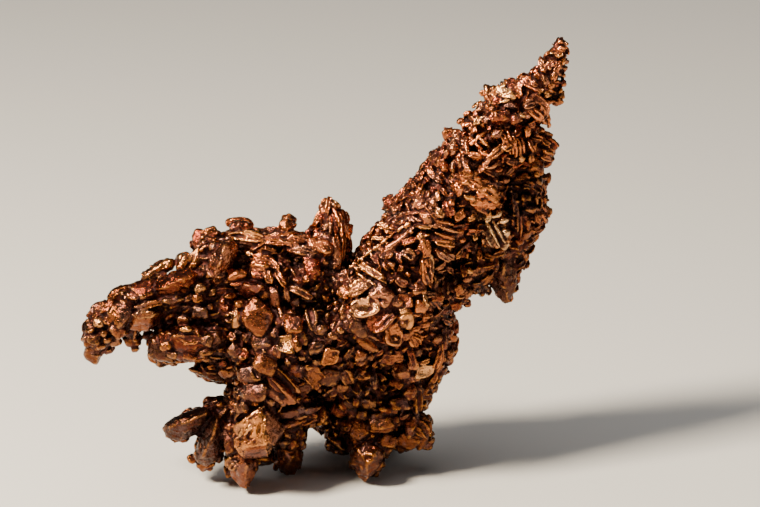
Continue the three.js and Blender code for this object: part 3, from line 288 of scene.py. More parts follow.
    (477, 104, 15, 5, 42, 1.2, 5, 0, "leaf", 4, "y"), (483, 108, 12, 11, 70, 1.6, 10, 0, "blk", 2, "g"),
    (491, 103, 5, 11, 35, 2, 5, 0, "lens", 5, "y"), (488, 107, 7, 8, 0, 1.2, 7, 0, "egg", 3, "o"),
    (498, 103, 14, 12, -20, 1, 10, 0, "blk", 2, "r"), (509, 106, 18, 10, 0, 0.6, 10, 0, "egg", 1, "g"),
    (501, 117, 20, 13, 10, 2.2, 12, 0, "blk", 2, "r"), (503, 113, 12, 5, -15, 2.6, 4, 0, "leaf", 4, "p"),
    (514, 119, 13, 14, 0, 1.8, 12, 0, "egg", 1, "r"), (478, 121, 8, 14, -10, 1.8, 6, 0, "leaf", 5, "y"),
    (486, 119, 9, 9, 0, 1.6, 7, 0, "blk", 3, "g"), (468, 125, 15, 7, 8, 1, 7, 0, "blk", 3, "o"),
    (468, 114, 10, 8, 0, 0.4, 7, 0, "egg", 2, "o"), (461, 121, 9, 7, 30, 0, 7, 0, "egg", 2, "o"),
    (535, 109, 26, 26, -40, 1.6, 14, 0, "blk", 3, "p"), (529, 104, 16, 12, 30, 2.2, 7, 0, "leaf", 3, "p"),
    (540, 115, 20, 11, -55, 2.2, 7, 0, "leaf", 3, "p"), (523, 115, 9, 6, -35, 2.4, 4, 0, "leaf", 5, "y"),
    (547, 119, 9, 14, 5, 1, 7, 0, "egg", 3, "o"), (549, 124, 6, 7, 0, 1, 6, 0, "egg", 4, "o"),
    (530, 83, 24, 6, -35, 1.8, 6, 0, "leaf", 4, "o"), (527, 79, 16, 6, -25, 1.6, 6, 0, "leaf", 4, "o"),
    (532, 88, 20, 5, -25, 1.8, 5, 0, "leaf", 4, "o"), (522, 84, 12, 6, -40, 1.2, 6, 0, "leaf", 4, "p"),
    (544, 81, 9, 14, 10, 1.6, 7, 0, "leaf", 3, "p"), (551, 85, 9, 9, 0, 1.6, 7, 0, "egg", 4, "o"),
    (546, 94, 9, 9, -20, 1.6, 7, 0, "egg", 4, "y"), (555, 93, 20, 12, -12, 1.6, 9, 0, "hop", 4, "y"),
    (557, 101, 14, 6, 15, 0.8, 6, 0, "leaf", 3, "o"), (557, 72, 4, 26, -9, 1.6, 5, 0, "pris", 4, "o"),
    (554, 72, 3.5, 24, -12, 1.4, 4, 0, "pris", 3, "o"), (563, 61, 6, 9, 10, 1, 6, 0, "egg", 4, "y"),
    (564, 68, 7, 6, 0, 1, 6, 0, "egg", 4, "p"), (563, 75, 7, 7, 0, 1, 6, 0, "egg", 4, "p"),
    (563, 83, 8, 8, 0, 1, 7, 0, "egg", 3, "r"), (549, 63, 14, 5, 25, 1, 5, 0, "lens", 3, "o"),
    (549, 68, 6, 6, 0, 1.4, 5, 0, "egg", 4, "p"), (553, 65, 5, 5, 0, 1.4, 5, 0, "egg", 3, "p"),
    (544, 70, 7, 7, 0, 1, 6, 0, "egg", 3, "o"), (538, 67, 9, 6, 20, 0.8, 6, 0, "egg", 3, "r"),
    (536, 72, 8, 6, 0, 0.8, 6, 0, "egg", 3, "r"), (560, 42, 7, 6, 0, 0.8, 6, 0, "egg", 3, "o"),
    (566, 44, 6, 6, 0, 0.6, 6, 0, "egg", 4, "p"), (554, 45, 9, 5, -20, 0.6, 5, 0, "leaf", 3, "o"),
    (553, 53, 11, 5, -8, 0.8, 5, 0, "leaf", 5, "y"), (561, 49, 9, 6, -20, 1, 5, 0, "leaf", 3, "o"),
    (568, 50, 4, 10, 10, 0.4, 5, 0, "lens", 3, "o"), (565, 56, 5, 8, 5, 0.8, 5, 0, "lens", 3, "o"),
    (560, 55, 8, 5, 30, 1.2, 4, 0, "egg", 4, "y"), (513, 200, 5, 40, 3, 1.6, 6, 0, "lens", 2, "g"),
    (517, 212, 4, 44, 2, 1.8, 5, 0, "lens", 2, "g"), (521, 226, 4, 30, 0, 1.4, 5, 0, "lens", 2, "r"),
    (526, 198, 13, 9, 0, 1, 8, 0, "pris", 1, "g"), (526, 188, 11, 6, 0, 1, 6, 0, "pris", 1, "g"),
    (536, 193, 4, 24, 14, 1.4, 5, 0, "lens", 2, "p"), (541, 196, 4, 26, 18, 1.4, 5, 0, "lens", 2, "p"),
    (530, 209, 14, 8, -10, 1, 8, 0, "blk", 2, "r"), (546, 211, 13, 12, -40, 0.4, 9, 0, "blk", 2, "o"),
    (538, 181, 13, 12, 30, 0.6, 9, 0, "egg", 2, "g"), (527, 222, 8, 20, 20, 1, 8, 0, "lens", 2, "r"),
    (528, 232, 12, 18, -25, 0.4, 9, 0, "lens", 2, "o"), (519, 241, 12, 12, -30, 0.2, 9, 0, "egg", 2, "r"),
    (501, 275, 12, 48, 10, 0.8, 9, 0, "leaf", 2, "o"), (509, 277, 11, 52, -4, 1.2, 9, 0, "leaf", 2, "g"),
    (514, 268, 7, 30, -2, 0.6, 7, 0, "lens", 2, "o"), (506, 254, 18, 12, 0, 0.8, 9, 0, "egg", 2, "r"),
    (495, 262, 10, 22, 20, 0.4, 8, 0, "lens", 1, "r"), (508, 297, 8, 14, -8, 0.6, 7, 0, "lens", 2, "o"),
    (483, 292, 7, 10, -20, -0.4, 6, 0, "egg", 1, "g"), (489, 291, 6, 10, 10, -0.4, 6, 0, "egg", 1, "g"),
    (486, 284, 6, 12, 0, -0.4, 6, 0, "egg", 1, "g"), (478, 285, 8, 8, 0, -0.2, 7, 0, "egg", 1, "r"),
    (505, 204, 10, 6, 20, 1, 6, 0, "egg", 2, "o"), (548, 178, 8, 12, -10, 0.2, 8, 0, "egg", 2, "o"),
]


# ------------------------------------------------------------------ placing
def ray(u, v, fwd, aim):
    u, v, fwd = (np.asarray(q, float) for q in (u, v, fwd))
    eye = aim + OUT * DIST
    d = (-OUT + RIGHT * ((u - MID_U) / FOCAL)[..., None] + UP * ((MID_V - v) / FOCAL)[..., None])
    k = (-fwd - eye[1]) / d[..., 1]
    return eye + d * k[..., None]


AIM = np.array([(MID_U - OBJECT_MID_U) * UNIT, 0.0, 0.0])
AIM[2] = -ray(FOOT_U, FOOT_V, FOOT_FRONT, AIM)[2]
EYE = AIM + OUT * DIST + SHIFT


def place(u, v, fwd):
    return ray(u, v, fwd, AIM) + SHIFT


LINKS = np.array([a + b for c in LIMBS.values() for a, b in zip(c, c[1:])], float)


def field(u, v, side=1):
    """Surface of the limbs, mm forward, and how far out of the limbs (1 at the edge)."""
    u = np.atleast_1d(np.asarray(u, float)); v = np.atleast_1d(np.asarray(v, float))
    L = LINKS[None]
    lu, lv = L[..., 5] - L[..., 0], L[..., 6] - L[..., 1]
    t = np.clip(((u[:, None] - L[..., 0]) * lu + (v[:, None] - L[..., 1]) * lv) / (lu * lu + lv * lv), 0, 1)
    w = L[..., 2] + (L[..., 7] - L[..., 2]) * t
    d = L[..., 3] + (L[..., 8] - L[..., 3]) * t
    c = L[..., 4] + (L[..., 9] - L[..., 4]) * t
    r = np.hypot(u[:, None] - L[..., 0] - lu * t, v[:, None] - L[..., 1] - lv * t) / w
    h = np.where(r < 1, side * d + c * np.sqrt(np.maximum(1 - r * r, 0)), -1e9).max(1)
    near = r.min(1)
    rest = (side * d)[np.arange(len(u)), r.argmin(1)]
    return side * np.where(near < 1, h, rest), near


def slope(u, v):
    s = 5.0
    f = field(np.array([u + s, u - s, u, u]), np.array([v, v, v - s, v + s]))[0]
    g = np.array([(f[0] - f[1]), (f[2] - f[3])]) / (2 * s * UNIT)
    m = np.hypot(*g)
    return g * (0.9 / m) if m > 0.9 else g


def unit(q):
    return q / max(np.linalg.norm(q), 1e-9)


def axes_at(ang, g, tilt, roll=0.0):
    c, s = math.cos(math.radians(ang)), math.sin(math.radians(ang))
    n = unit(-0.8 * g[0] * RIGHT - 0.8 * g[1] * UP + OUT)
    l = unit(c * RIGHT + s * UP + ((c * g[0] + s * g[1]) * 0.8 + math.tan(math.radians(tilt))) * OUT)
    w = unit(np.cross(n, l))
    t = unit(np.cross(l, w))
    if roll:
        cr, sr = math.cos(roll), math.sin(roll)
        w, t = w * cr + t * sr, -w * sr + t * cr
    return np.stack([l, w, t])          # rows


def axes_on(n, ang):
    n = unit(n)
    ref = UP if abs(n @ UP) < 0.9 else RIGHT
    a = unit(np.cross(ref, n)); b = np.cross(n, a)
    l = a * math.cos(ang) + b * math.sin(ang)
    return np.stack([l, np.cross(n, l), n])


# ------------------------------------------------------------------ crystal shapes
_T = {}


def template(n):
    """A sphere made of six square patches: unit directions and quads facing out."""
    if n in _T:
        return _T[n]
    t = np.tan(np.linspace(-math.pi / 4, math.pi / 4, n + 1))
    ids, pts, quads = {}, [], []

    def vid(p):
        k = (round(p[0], 5), round(p[1], 5), round(p[2], 5))
        if k not in ids:
            ids[k] = len(pts)
            pts.append(p)
        return ids[k]
    for ax in range(3):
        for sg in (-1.0, 1.0):
            g = [[0] * (n + 1) for _ in range(n + 1)]
            for i in range(n + 1):
                for j in range(n + 1):
                    p = [0.0, 0.0, 0.0]
                    p[ax] = sg; p[(ax + 1) % 3] = t[i]; p[(ax + 2) % 3] = t[j]
                    g[i][j] = vid(p)
            for i in range(n):
                for j in range(n):
                    q = [g[i][j], g[i + 1][j], g[i + 1][j + 1], g[i][j + 1]]
                    quads.append(q if sg > 0 else q[::-1])
    P = np.array(pts)
    P /= np.linalg.norm(P, axis=1)[:, None]
    _T[n] = (P, np.array(quads, np.int64))
    return _T[n]


def bounded(D, N, h, p):
    s = np.maximum(D @ N.T, 1e-3) / h
    return 1.0 / (s ** p).sum(1) ** (1.0 / p)


def spread(k):
    i = np.arange(k) + 0.5
    ph = np.arccos(1 - 2 * i / k); th = math.pi * (1 + 5 ** 0.5) * i
    return np.stack([np.cos(th) * np.sin(ph), np.sin(th) * np.sin(ph), np.cos(ph)], 1)


def turn():
    q = unit(rng.normal(size=4)); w, x, y, z = q
    return np.array([[1 - 2 * (y * y + z * z), 2 * (x * y - z * w), 2 * (x * z + y * w)],
                     [2 * (x * y + z * w), 1 - 2 * (x * x + z * z), 2 * (y * z - x * w)],
                     [2 * (x * z - y * w), 2 * (y * z + x * w), 1 - 2 * (x * x + y * y)]])


def lumps(P, f, k=6):
    W = rng.normal(size=(k, 3)) * f
    return np.sin(P @ W.T + rng.uniform(0, 6.28, k)).sum(1) / k ** 0.5 / 1.4


def sstep(x):
    x = np.clip(x, 0, 1)
    return x * x * (3 - 2 * x)


_S3 = [np.array(v, float) for v in
       [(i, j, k) for i in (-1, 0, 1) for j in (-1, 0, 1) for k in (-1, 0, 1) if (i, j, k) != (0, 0, 0)]]
_S3N = np.array([unit(v) for v in _S3]); _S3K = np.array([int(np.abs(v).sum()) for v in _S3])


def section(D, angs, hs, p, prof):
    x = D[:, 0]
    rho = np.maximum(np.hypot(D[:, 1], D[:, 2]), 1e-9)
    C = np.stack([D[:, 1], D[:, 2]], 1) / rho[:, None]
    a = np.radians(np.array(angs, float))
    N = np.stack([np.cos(a), np.sin(a)], 1)
    r = bounded(C, N, np.array(hs, float), p) * prof(np.abs(x))
    return np.stack([x, C[:, 0] * r, C[:, 1] * r], 1)


def shape(kind, D, big):
    u = rng.uniform
    if kind in ("blk", "hop"):
        h = np.where(_S3K == 1, u(0.9, 1.04, 26), np.where(_S3K == 2, u(1.06, 1.3, 26), u(1.2, 1.5, 26)))
        P = D * bounded(D, _S3N, h, 20)[:, None]
        x, y, z = P.T.copy()
        m = np.maximum(np.abs(x), np.abs(y))
        if kind == "hop":
            z = np.where(z > 0, z - 0.42 * sstep((0.80 - m) / 0.16) - 0.22 * sstep((0.48 - m) / 0.14), z)
        else:
            z = z + np.where(z > 0.3, 0.12 * (1 - m), 0)
            if big:
                b = u(-0.5, 0.5); k = u(9, 13)
                z = np.where(z > 0.2, z - 0.055 * np.abs(np.sin(k * (x * math.sin(b) + y * math.cos(b)))) ** 0.6 * u(0.3, 1), z)
        y = y * (1 + u(-0.22, 0.22) * x); z = z * (1 + u(-0.18, 0.18) * x); x = x + u(-0.2, 0.2) * y
    elif kind == "egg":
        k = int(rng.integers(12, 18))
        P = D * bounded(D, spread(k) @ turn(), u(0.84, 1.02, k), 13)[:, None]
        x, y, z = P.T.copy()
    elif kind == "lens":
        P = section(D, [90 - 36, 90 + 36, 4, 176, -50, -130], [0.8 * u(0.92, 1.06), 0.8 * u(0.92, 1.06), 1, 1, 0.9, 0.9], 11,
                    lambda q: (1 - q ** 1.9) ** 0.62)
        x, y, z = P.T.copy()
        y = y + u(-0.15, 0.15) * (1 - x * x)
    elif kind == "leaf":
        P = section(D, [90 - 52, 90 + 52, 90, -8, 188, -90], [0.64, 0.64, u(0.7, 0.95), 1, 1, 0.6], 15,
                    lambda q: (1 - q ** 1.5) ** 0.72)
        x, y, z = P.T.copy()
        k = u(7, 11)
        z = z - np.where(z > -0.1, 0.055 * (1 + np.sin(k * (x - 0.9 * np.abs(y)))), 0)
        if u() < 0.5:
            z = np.where(z > 0, z - 0.32 * np.exp(-(y / 0.13) ** 2) * (1 - x ** 4), z)
        y = y + u(-0.22, 0.22) * (1 - x * x)
    elif kind == "rib":
        P = section(D, [90, 90 - 32, 90 + 32, 90 - 64, 90 + 64, 0, 180, -90], [0.95, 0.94, 0.94, 0.96, 0.96, 1, 1, 0.9], 12,
                    lambda q: (1 - q ** 3.0) ** 0.55)
        x, y, z = P.T.copy()
        y0 = u(-0.35, 0.35)
        z = np.where(z > 0, z - 0.3 * np.exp(-((y - y0) / 0.13) ** 2) * (1 - x ** 6), z)
        y = y + u(-0.25, 0.25) * (1 - x * x)
    elif kind == "bean":
        P = section(D, [90, 45, 135, 0, 180, -45, -135, -90], [0.98, 1, 1, 1, 1, 0.96, 0.96, 0.9], 9,
                    lambda q: (1 - q ** 2.6) ** 0.52)
        x, y, z = P.T.copy()
        y0 = 0.12 * np.sin(2 * x + u(0, 6))
        z = np.where(z > 0, z - 0.52 * np.exp(-((y - y0) / 0.15) ** 2) * (1 - x ** 6) + 0.08 * np.exp(-((np.abs(y) - 0.42) / 0.2) ** 2), z)
    else:
        P = section(D, [90, 30, 150, -30, -150, -90], u(0.84, 0.98, 6), 18,
                    lambda q: np.minimum(1, (1 - q) * 2.7) ** 0.8)
        x, y, z = P.T.copy()
        z = z * (1 + u(-0.15, 0.15) * x); y = y * (1 + u(-0.15, 0.15) * x)
    return np.stack([x, y, z], 1)


# ------------------------------------------------------------------ collecting
PIECES = {}          # name -> list of (points, triangles, colour, polish, grain)


def region(u, v, back=False):
    if back:
        return "back_crystals_left" if u < 330 else ("back_crystals_right" if v > 235 else "back_crystals_arm")
    if v < 135 or (u > 470 and v < 165):
        return "arm_tip"
    if (u - 345) * 0.62 + (330 - v) * 0.78 > 70:
        return "long_arm"
    if u < 232 and v < 385:
        return "left_arm"
    if v > 385 and u < 322:
        return "spread_crystals"
    if v > 378 or (v > 360 and u > 400):
        return "right_lobe"
    if v < 300 and u < 355:
        return "ridge_and_peak"
    return "middle_left" if u < 330 else "middle_right"


COPPER = {           # linear colours: fresh and tarnished ends for each tone
    "y": ((0.88, 0.345, 0.092), (0.21, 0.066, 0.034)),
    "o": ((0.60, 0.176, 0.054), (0.105, 0.027, 0.015)),
    "p": ((0.54, 0.190, 0.085), (0.115, 0.037, 0.024)),
    "r": ((0.37, 0.078, 0.034), (0.080, 0.018, 0.011)),
    "g": ((0.27, 0.108, 0.066), (0.048, 0.018, 0.014)),
    "w": ((0.92, 0.52, 0.25), (0.30, 0.13, 0.07)),
}


def tint(finish, tone):
    a, b = COPPER[tone]
    f = np.clip(finish / 5.0 + rng.uniform(-0.08, 0.08), 0, 1)
    col = np.array(b) * (1 - f) + np.array(a) * f
    if tone == "w" or (tone == "y" and finish > 4.7):      # the palest, freshly worn metal
        k = 0.9 if tone == "w" else 0.35
        col = col * (1 - k) + np.array((0.92, 0.52, 0.25)) * k * (0.4 + 0.6 * f)
    return col * rng.uniform(0.82, 1.12) * (1 + rng.uniform(-0.05, 0.05, 3)), f


# how bright the colour is kept over the object, by layout place and level: partly tarnish, partly painted shade (the
# darker left arm, fan and lower right lobe) and painted light (the brighter ridge, peak and arm tip)
TARNISH_AND_PAINTED_LIGHT = np.array([(100, 325, 0.46), (170, 295, 0.42), (215, 250, 0.85), (270, 240, 1.50), (335, 215, 1.65), (255, 320, 0.64), (300, 355, 0.56),
                   (325, 300, 0.60), (370, 295, 1.12), (405, 330, 1.02), (430, 365, 0.95), (375, 400, 0.38), (360, 450, 0.37), (415, 430, 0.36),
                   (190, 430, 0.34), (256, 430, 0.80), (262, 480, 0.36), (400, 225, 1.30), (440, 215, 1.32), (475, 165, 1.85), (535, 100, 2.1),
                   (525, 210, 0.72), (500, 275, 0.50), (450, 285, 0.82), (492, 230, 1.45)])


SLOTS = np.array([(365, 308, 15, 6, -8), (277, 390, 32, 4.5, -50), (285, 379, 30, 4.5, -50), (190, 261, 20, 3.5, 62), (258, 430, 14, 4, 80),
                  (203, 333, 10, 6, 0), (170, 275, 8, 5, 10), (185, 290, 7, 4, 0), (235, 460, 9, 6, 0), (368, 458, 9, 6, 0), (255, 373, 12, 4, -60),
                  (305, 372, 15, 4, -70), (430, 274, 22, 3.5, -70), (443, 250, 17, 3.5, -20), (555, 97, 10, 5, 10), (491, 146, 24, 3.5, 30),
                  (494, 162, 16, 4, 40), (459, 144, 15, 4, -60), (383, 228, 15, 3.5, -20), (411, 256, 9, 4, -30), (397, 312, 12, 4, -60),
                  (382, 300, 14, 4, -20), (238, 235, 16, 3.5, -5), (300, 262, 10, 4, 60), (338, 232, 22, 3, 78), (230, 318, 8, 5, 60)], float)


def layout_at(X):
    d = X - EYE
    z = -(d @ OUT)
    return MID_U + FOCAL * (d @ RIGHT) / z, MID_V - FOCAL * (d @ UP) / z


def open_slots(X):
    """How deep in a slot or hole each point is, 0 to 1; it cuts the skin in and darkens its colour as painted shade."""
    u, v = layout_at(X)
    out = np.zeros(len(X))
    for su, sv, L_, W_, an in SLOTS:
        near = np.flatnonzero((np.abs(u - su) < L_ * 0.7) & (np.abs(v - sv) < L_ * 0.7))
        if len(near):
            c_, s_ = math.cos(math.radians(an)), math.sin(math.radians(an))
            du, dv = u[near] - su, sv - v[near]
            q = ((du * c_ + dv * s_) / (L_ / 2)) ** 2 + ((-du * s_ + dv * c_) / (W_ / 2)) ** 2
            out[near] = np.maximum(out[near], np.clip(1.35 - q, 0, 1))
    return out


def tarnish_and_painted_light(X):
    """Tarnish level together with painted shade and painted light, by x and z alone, the same through the whole depth.
    """
    Y = X.copy()
    Y[:, 1] = SHIFT[1] - 6.0
    u, v = layout_at(Y)
    w = 1.0 / (((u[:, None] - TARNISH_AND_PAINTED_LIGHT[:, 0]) ** 2 + (v[:, None] - TARNISH_AND_PAINTED_LIGHT[:, 1]) ** 2) + 60.0) ** 1.6
    return (w * TARNISH_AND_PAINTED_LIGHT[:, 2]).sum(1) / w.sum(1)


def lift(W, small):
    """Keeps a crystal off the ground: moved up, or left out if it is a small one."""
    low = W[:, 2].min()
    if low >= 0.05:
        return W
    if small and low < -0.5:
        return None
    return W + np.array([0, 0, 0.05 - low]) if low > -3.5 else None


def add(name, centre, M, half, kind, finish, tone, n, root=ROOT, rough=0.045, grain=1.0):
    D, Q = template(n)
    a, b, c = half
    P = shape(kind, D, min(a, b) > 1.4)
    rad = unit_rows(P)
    P = P * np.array([a, b, c])
    size = (a * b * c) ** (1 / 3)
    P = P + rad * (lumps(P, 1.7 / size) * rough * size)[:, None]
    P[:, 2] = np.where(P[:, 2] < 0, P[:, 2] * (1 + root / c * 0.9), P[:, 2])
    W = lift(centre + P @ M, max(a, b) < 1.6)
    if W is None:
        return
    col, f = tint(finish, tone)
    PIECES.setdefault(name, []).append((W, halves(Q), col, f, grain))
    return W


def bundle(name, centre, M, half, finish, tone, count, root=ROOT, n=9, bow=None):
    """A leaf of lengthwise ribs that meet at the tips, on a filled underside."""
    a, b, c = half
    bow = rng.uniform(-0.35, 0.35) if bow is None else bow
    pinch = rng.uniform(0.45, 0.8); fat = rng.uniform(0.9, 1.15)
    D, Q = template(n)
    col, f = tint(finish, tone)
    reach = math.sqrt((a * M[0][2]) ** 2 + (b * M[1][2]) ** 2 + (c * M[2][2]) ** 2)
    if centre[2] < reach:
        if a < 1.6 or centre[2] < reach - 3.5:
            return
        centre = centre + np.array([0, 0, reach - centre[2]])
    share = rng.uniform(0.55, 1.5, count)
    share /= share.sum()
    at_ = np.cumsum(share) - share / 2
    for k in range(count):
        y0 = at_[k] * 2 - 1
        s0, s1 = -1 + rng.uniform(0, 0.5) ** 1.5, 1 - rng.uniform(0, 0.5) ** 1.5
        t = np.clip(D[:, 0] * 1.15, -1, 1)
        t = s0 + (s1 - s0) * (t + 1) / 2
        w = (1 - np.abs(t * 0.97) ** 2.2) ** pinch
        end = np.sqrt(np.clip(1 - np.abs(D[:, 0]) ** 3.5, 0, 1))
        rho = np.maximum(np.hypot(D[:, 1], D[:, 2]), 1e-9)
        r = b * share[k] * fat * (0.45 + 0.55 * w) * end * rng.uniform(0.9, 1.15)
        wave = 0.10 * b * np.sin(t * rng.uniform(2, 5) + rng.uniform(0, 6.28))
        X = a * t
        Y = b * (y0 * w * 0.92 + bow * (1 - t * t)) + wave + D[:, 1] / rho * r
        Z = c * (0.35 + 0.5 * math.sqrt(1 - 0.75 * y0 * y0)) * (1 - np.abs(t) ** 3 * 0.75) + D[:, 2] / rho * r * rng.uniform(1.0, 1.5) - r * 0.4
        Z = Z + c * rng.uniform(-0.12, 0.12)
        k_ = rng.uniform(0.72, 1.25)
        PIECES.setdefault(name, []).append((centre + np.stack([X, Y, Z], 1) @ M, halves(Q), col * k_, min(1, f * k_), 0.35))
    D, Q = template(7)
    P = shape("egg", D, False) * np.array([a * 0.93, b * 0.86, c * 0.62])
    P[:, 1] += b * bow * (1 - np.clip(P[:, 0] / a, -1, 1) ** 2)
    P[:, 2] = np.where(P[:, 2] < 0, P[:, 2] * (1 + root / c * 0.9), P[:, 2])
    # the filled underside at half colour: painted shade between and under the ribs
    PIECES[name].append((centre + P @ M, halves(Q), col * 0.5, f * 0.5, 0.6))


def halves(Q):
    return np.concatenate([Q[:, [0, 1, 2]], Q[:, [0, 2, 3]]])


def solid(name, pts, finish, tone, grain=0.5, step=0.5):
    """A crystal given by its corners, as u, v, mm above the limb and mm of depth: their convex hull, finely divided."""
    W = np.array([place(u, v, field(u0, v0)[0][0] + dz) for u, v, dz, u0, v0 in pts])
    bm = bmesh.new()
    for q in W:
        bm.verts.new(q)
    bmesh.ops.convex_hull(bm, input=bm.verts)
    bmesh.ops.delete(bm, geom=[q for q in bm.verts if not q.link_faces], context="VERTS")
    bm.verts.index_update()
    bmesh.ops.triangulate(bm, faces=bm.faces)
    bm.verts.index_update()
    V = np.array([q.co[:] for q in bm.verts]); T = np.array([[q.index for q in f.verts] for f in bm.faces])
    bm.free()
    mid = V.mean(0)
    n = np.cross(V[T[:, 1]] - V[T[:, 0]], V[T[:, 2]] - V[T[:, 0]])
    flip = (n * (V[T].mean(1) - mid)).sum(1) < 0
    T[flip] = T[flip][:, ::-1]
    while max(np.linalg.norm(V[T[:, 0]] - V[T[:, 1]], axis=1)) > step * 1.6 and len(T) < 9000:
        ids, new, N2 = {}, [q for q in V], []

        def half(a, b):
            k = (min(a, b), max(a, b))
            if k not in ids:
                ids[k] = len(new)
                new.append((V[a] + V[b]) / 2)
            return ids[k]
        for a, b, c in T.tolist():
            x, y, z = half(a, b), half(b, c), half(c, a)
            N2 += [(a, x, z), (x, b, y), (z, y, c), (x, y, z)]
        V, T = np.array(new), np.array(N2)
    V = V + np.array([0, 0, max(0.0, 0.05 - V[:, 2].min())])
    col, f = tint(finish, tone)
    PIECES.setdefault(name, []).append((V, T, col, f, grain))


def unit_rows(P):
    return P / np.maximum(np.linalg.norm(P, axis=1), 1e-9)[:, None]


# ------------------------------------------------------------------ crystals placed one by one
SPECIAL = {(256, 433), (270, 427), (258, 453), (279, 388), (270, 397), (286, 376), (186, 424), (212, 436), (238, 470), (288, 462),
           (170, 284), (146, 319), (196, 338), (220, 262), (254, 290), (368, 460), (501, 275), (509, 277), (535, 109)}
HERO = []
for u, v, L, W, ang, dz, T, tilt, kind, finish, tone in CRYSTALS:
    g = slope(u, v)
    f0 = field(u, v)[0][0]
    fwd = f0 + LIFT * dz - SINK * T * UNIT
    a, b, c = L * UNIT / 2, W * UNIT / 2, T * UNIT / 2
    s = math.sqrt(L * W)
    n = int(np.clip(round(s * 0.6 + 2), 7, 20))
    if 245 < u < 450 and 265 < v < 400:
        a, b = a * 1.18, b * 1.18
    M = axes_at(ang + rng.uniform(-4, 4), g, tilt, rng.uniform(-0.16, 0.16))
    C = place(u, v, fwd)
    # crystals at the outline are held by a short stalk that leads inwards
    far = field(u, v)[1][0]
    if far > 0.62:
        q = np.array([field(u + 3, v)[1][0] - field(u - 3, v)[1][0], field(u, v + 3)[1][0] - field(u, v - 3)[1][0]])
        q = -q / max(np.hypot(*q), 1e-9)
        s_ = min(a, b)
        step_ = 9 + max(0.0, far - 1) * 18
        A0, A1 = place(u, v, fwd - c * 0.3), place(u + q[0] * step_, v + q[1] * step_, field(u + q[0] * step_, v + q[1] * step_)[0][0] - 1.0)
        ax = unit(A1 - A0)
        ref_ = OUT - ax * (OUT @ ax)
        t_ = unit(ref_)
        add(region(u, v), (A0 + A1) / 2, np.stack([ax, np.cross(t_, ax), t_]),
            (np.linalg.norm(A1 - A0) / 2 + 0.5, min(1.3, max(0.65, s_ * 0.7)), 0.8), "egg", finish * 0.5, tone, 7, root=0.8, grain=1.0)
    if (u, v) in SPECIAL:
        HERO.append((u, v, L, W, ang, fwd + c * 0.8, f0))
        continue
    reg = region(u, v)
    ribbed = kind in ("leaf", "rib", "bean") or (kind in ("lens", "pris") and reg in ("long_arm", "arm_tip") and rng.uniform() < 0.5)
    if ribbed and min(L, W) > 5.5:
        if W > L:
            M = np.stack([M[1], -M[0], M[2]]); a, b = b, a
        bundle(reg, C, M, (a * 1.04, b * 1.04, c * 1.05), finish, tone, int(np.clip(round(2 * b / UNIT / 4.2), 2, 6)), n=int(np.clip(n * 0.75, 6, 12)))
        HERO.append((u, v, L, W, ang, fwd + c * 0.8, f0))
        continue
    add(reg, C, M, (a, b, c), kind, finish, tone, n,
        grain={"lens": 0.4, "leaf": 0.45, "egg": 0.55, "blk": 1.3 if reg in ("long_arm", "arm_tip") else 0.6, "rib": 0.35, "pris": 0.35, "bean": 0.5, "hop": 0.3}[kind])
    HERO.append((u, v, L, W, ang, fwd + c * 0.8, f0))
    # smaller crystals grown on the shoulders of the larger ones
    if s > 13:
        for _ in range(int(s / (4.5 if reg in ("long_arm", "arm_tip") else 10))):
            th = rng.uniform(0, 6.28)
            q = rng.uniform(0.62, 0.95)
            off = np.array([a * q * math.cos(th), b * q * math.sin(th), c * rng.uniform(-0.1, 0.5)])
            r = rng.uniform(0.35, 0.75) * UNIT * min(9, 2 + s * 0.2)
            N = unit(off / np.array([a, b, c]) ** 1.5 @ M)
            k = rng.choice(["egg", "blk", "egg", "lens", "leaf"])
            add(region(u, v), C + off @ M, axes_on(N, rng.uniform(0, 6.28)), (r * rng.uniform(1, 1.7), r, r * 0.9),
                k, finish + rng.uniform(-1, 0.8), tone, 4, root=0.5)
HERO = np.array(HERO)


def hidden_by_hero(u, v, fwd):
    du, dv = u - HERO[:, 0], HERO[:, 1] - v
    ca, sa = np.cos(np.radians(HERO[:, 4])), np.sin(np.radians(HERO[:, 4]))
    p, q = (du * ca + dv * sa) / (HERO[:, 2] / 2), (-du * sa + dv * ca) / (HERO[:, 3] / 2)
    return bool(((p * p + q * q < 0.55) & (HERO[:, 5] > fwd - 0.2)).any())


# the large block low in the middle of the fan: a gold face, a grey face and a brown one below
def ring(pts, dz, mid, shrink=1.0):
    return [(mid[0] + (u - mid[0]) * shrink, mid[1] + (v - mid[1]) * shrink, dz, mid[0], mid[1]) for u, v in pts]


def block(outline, ridge, c0, base, edge, finish, tone, grain=0.35, shrink=0.88):
    solid(region(*c0), ring(outline, -base, c0, shrink) + [(u, v, edge, *c0) for u, v in outline] + [(u, v, dz, *c0) for u, v, dz in ridge],
          finish, tone, grain)


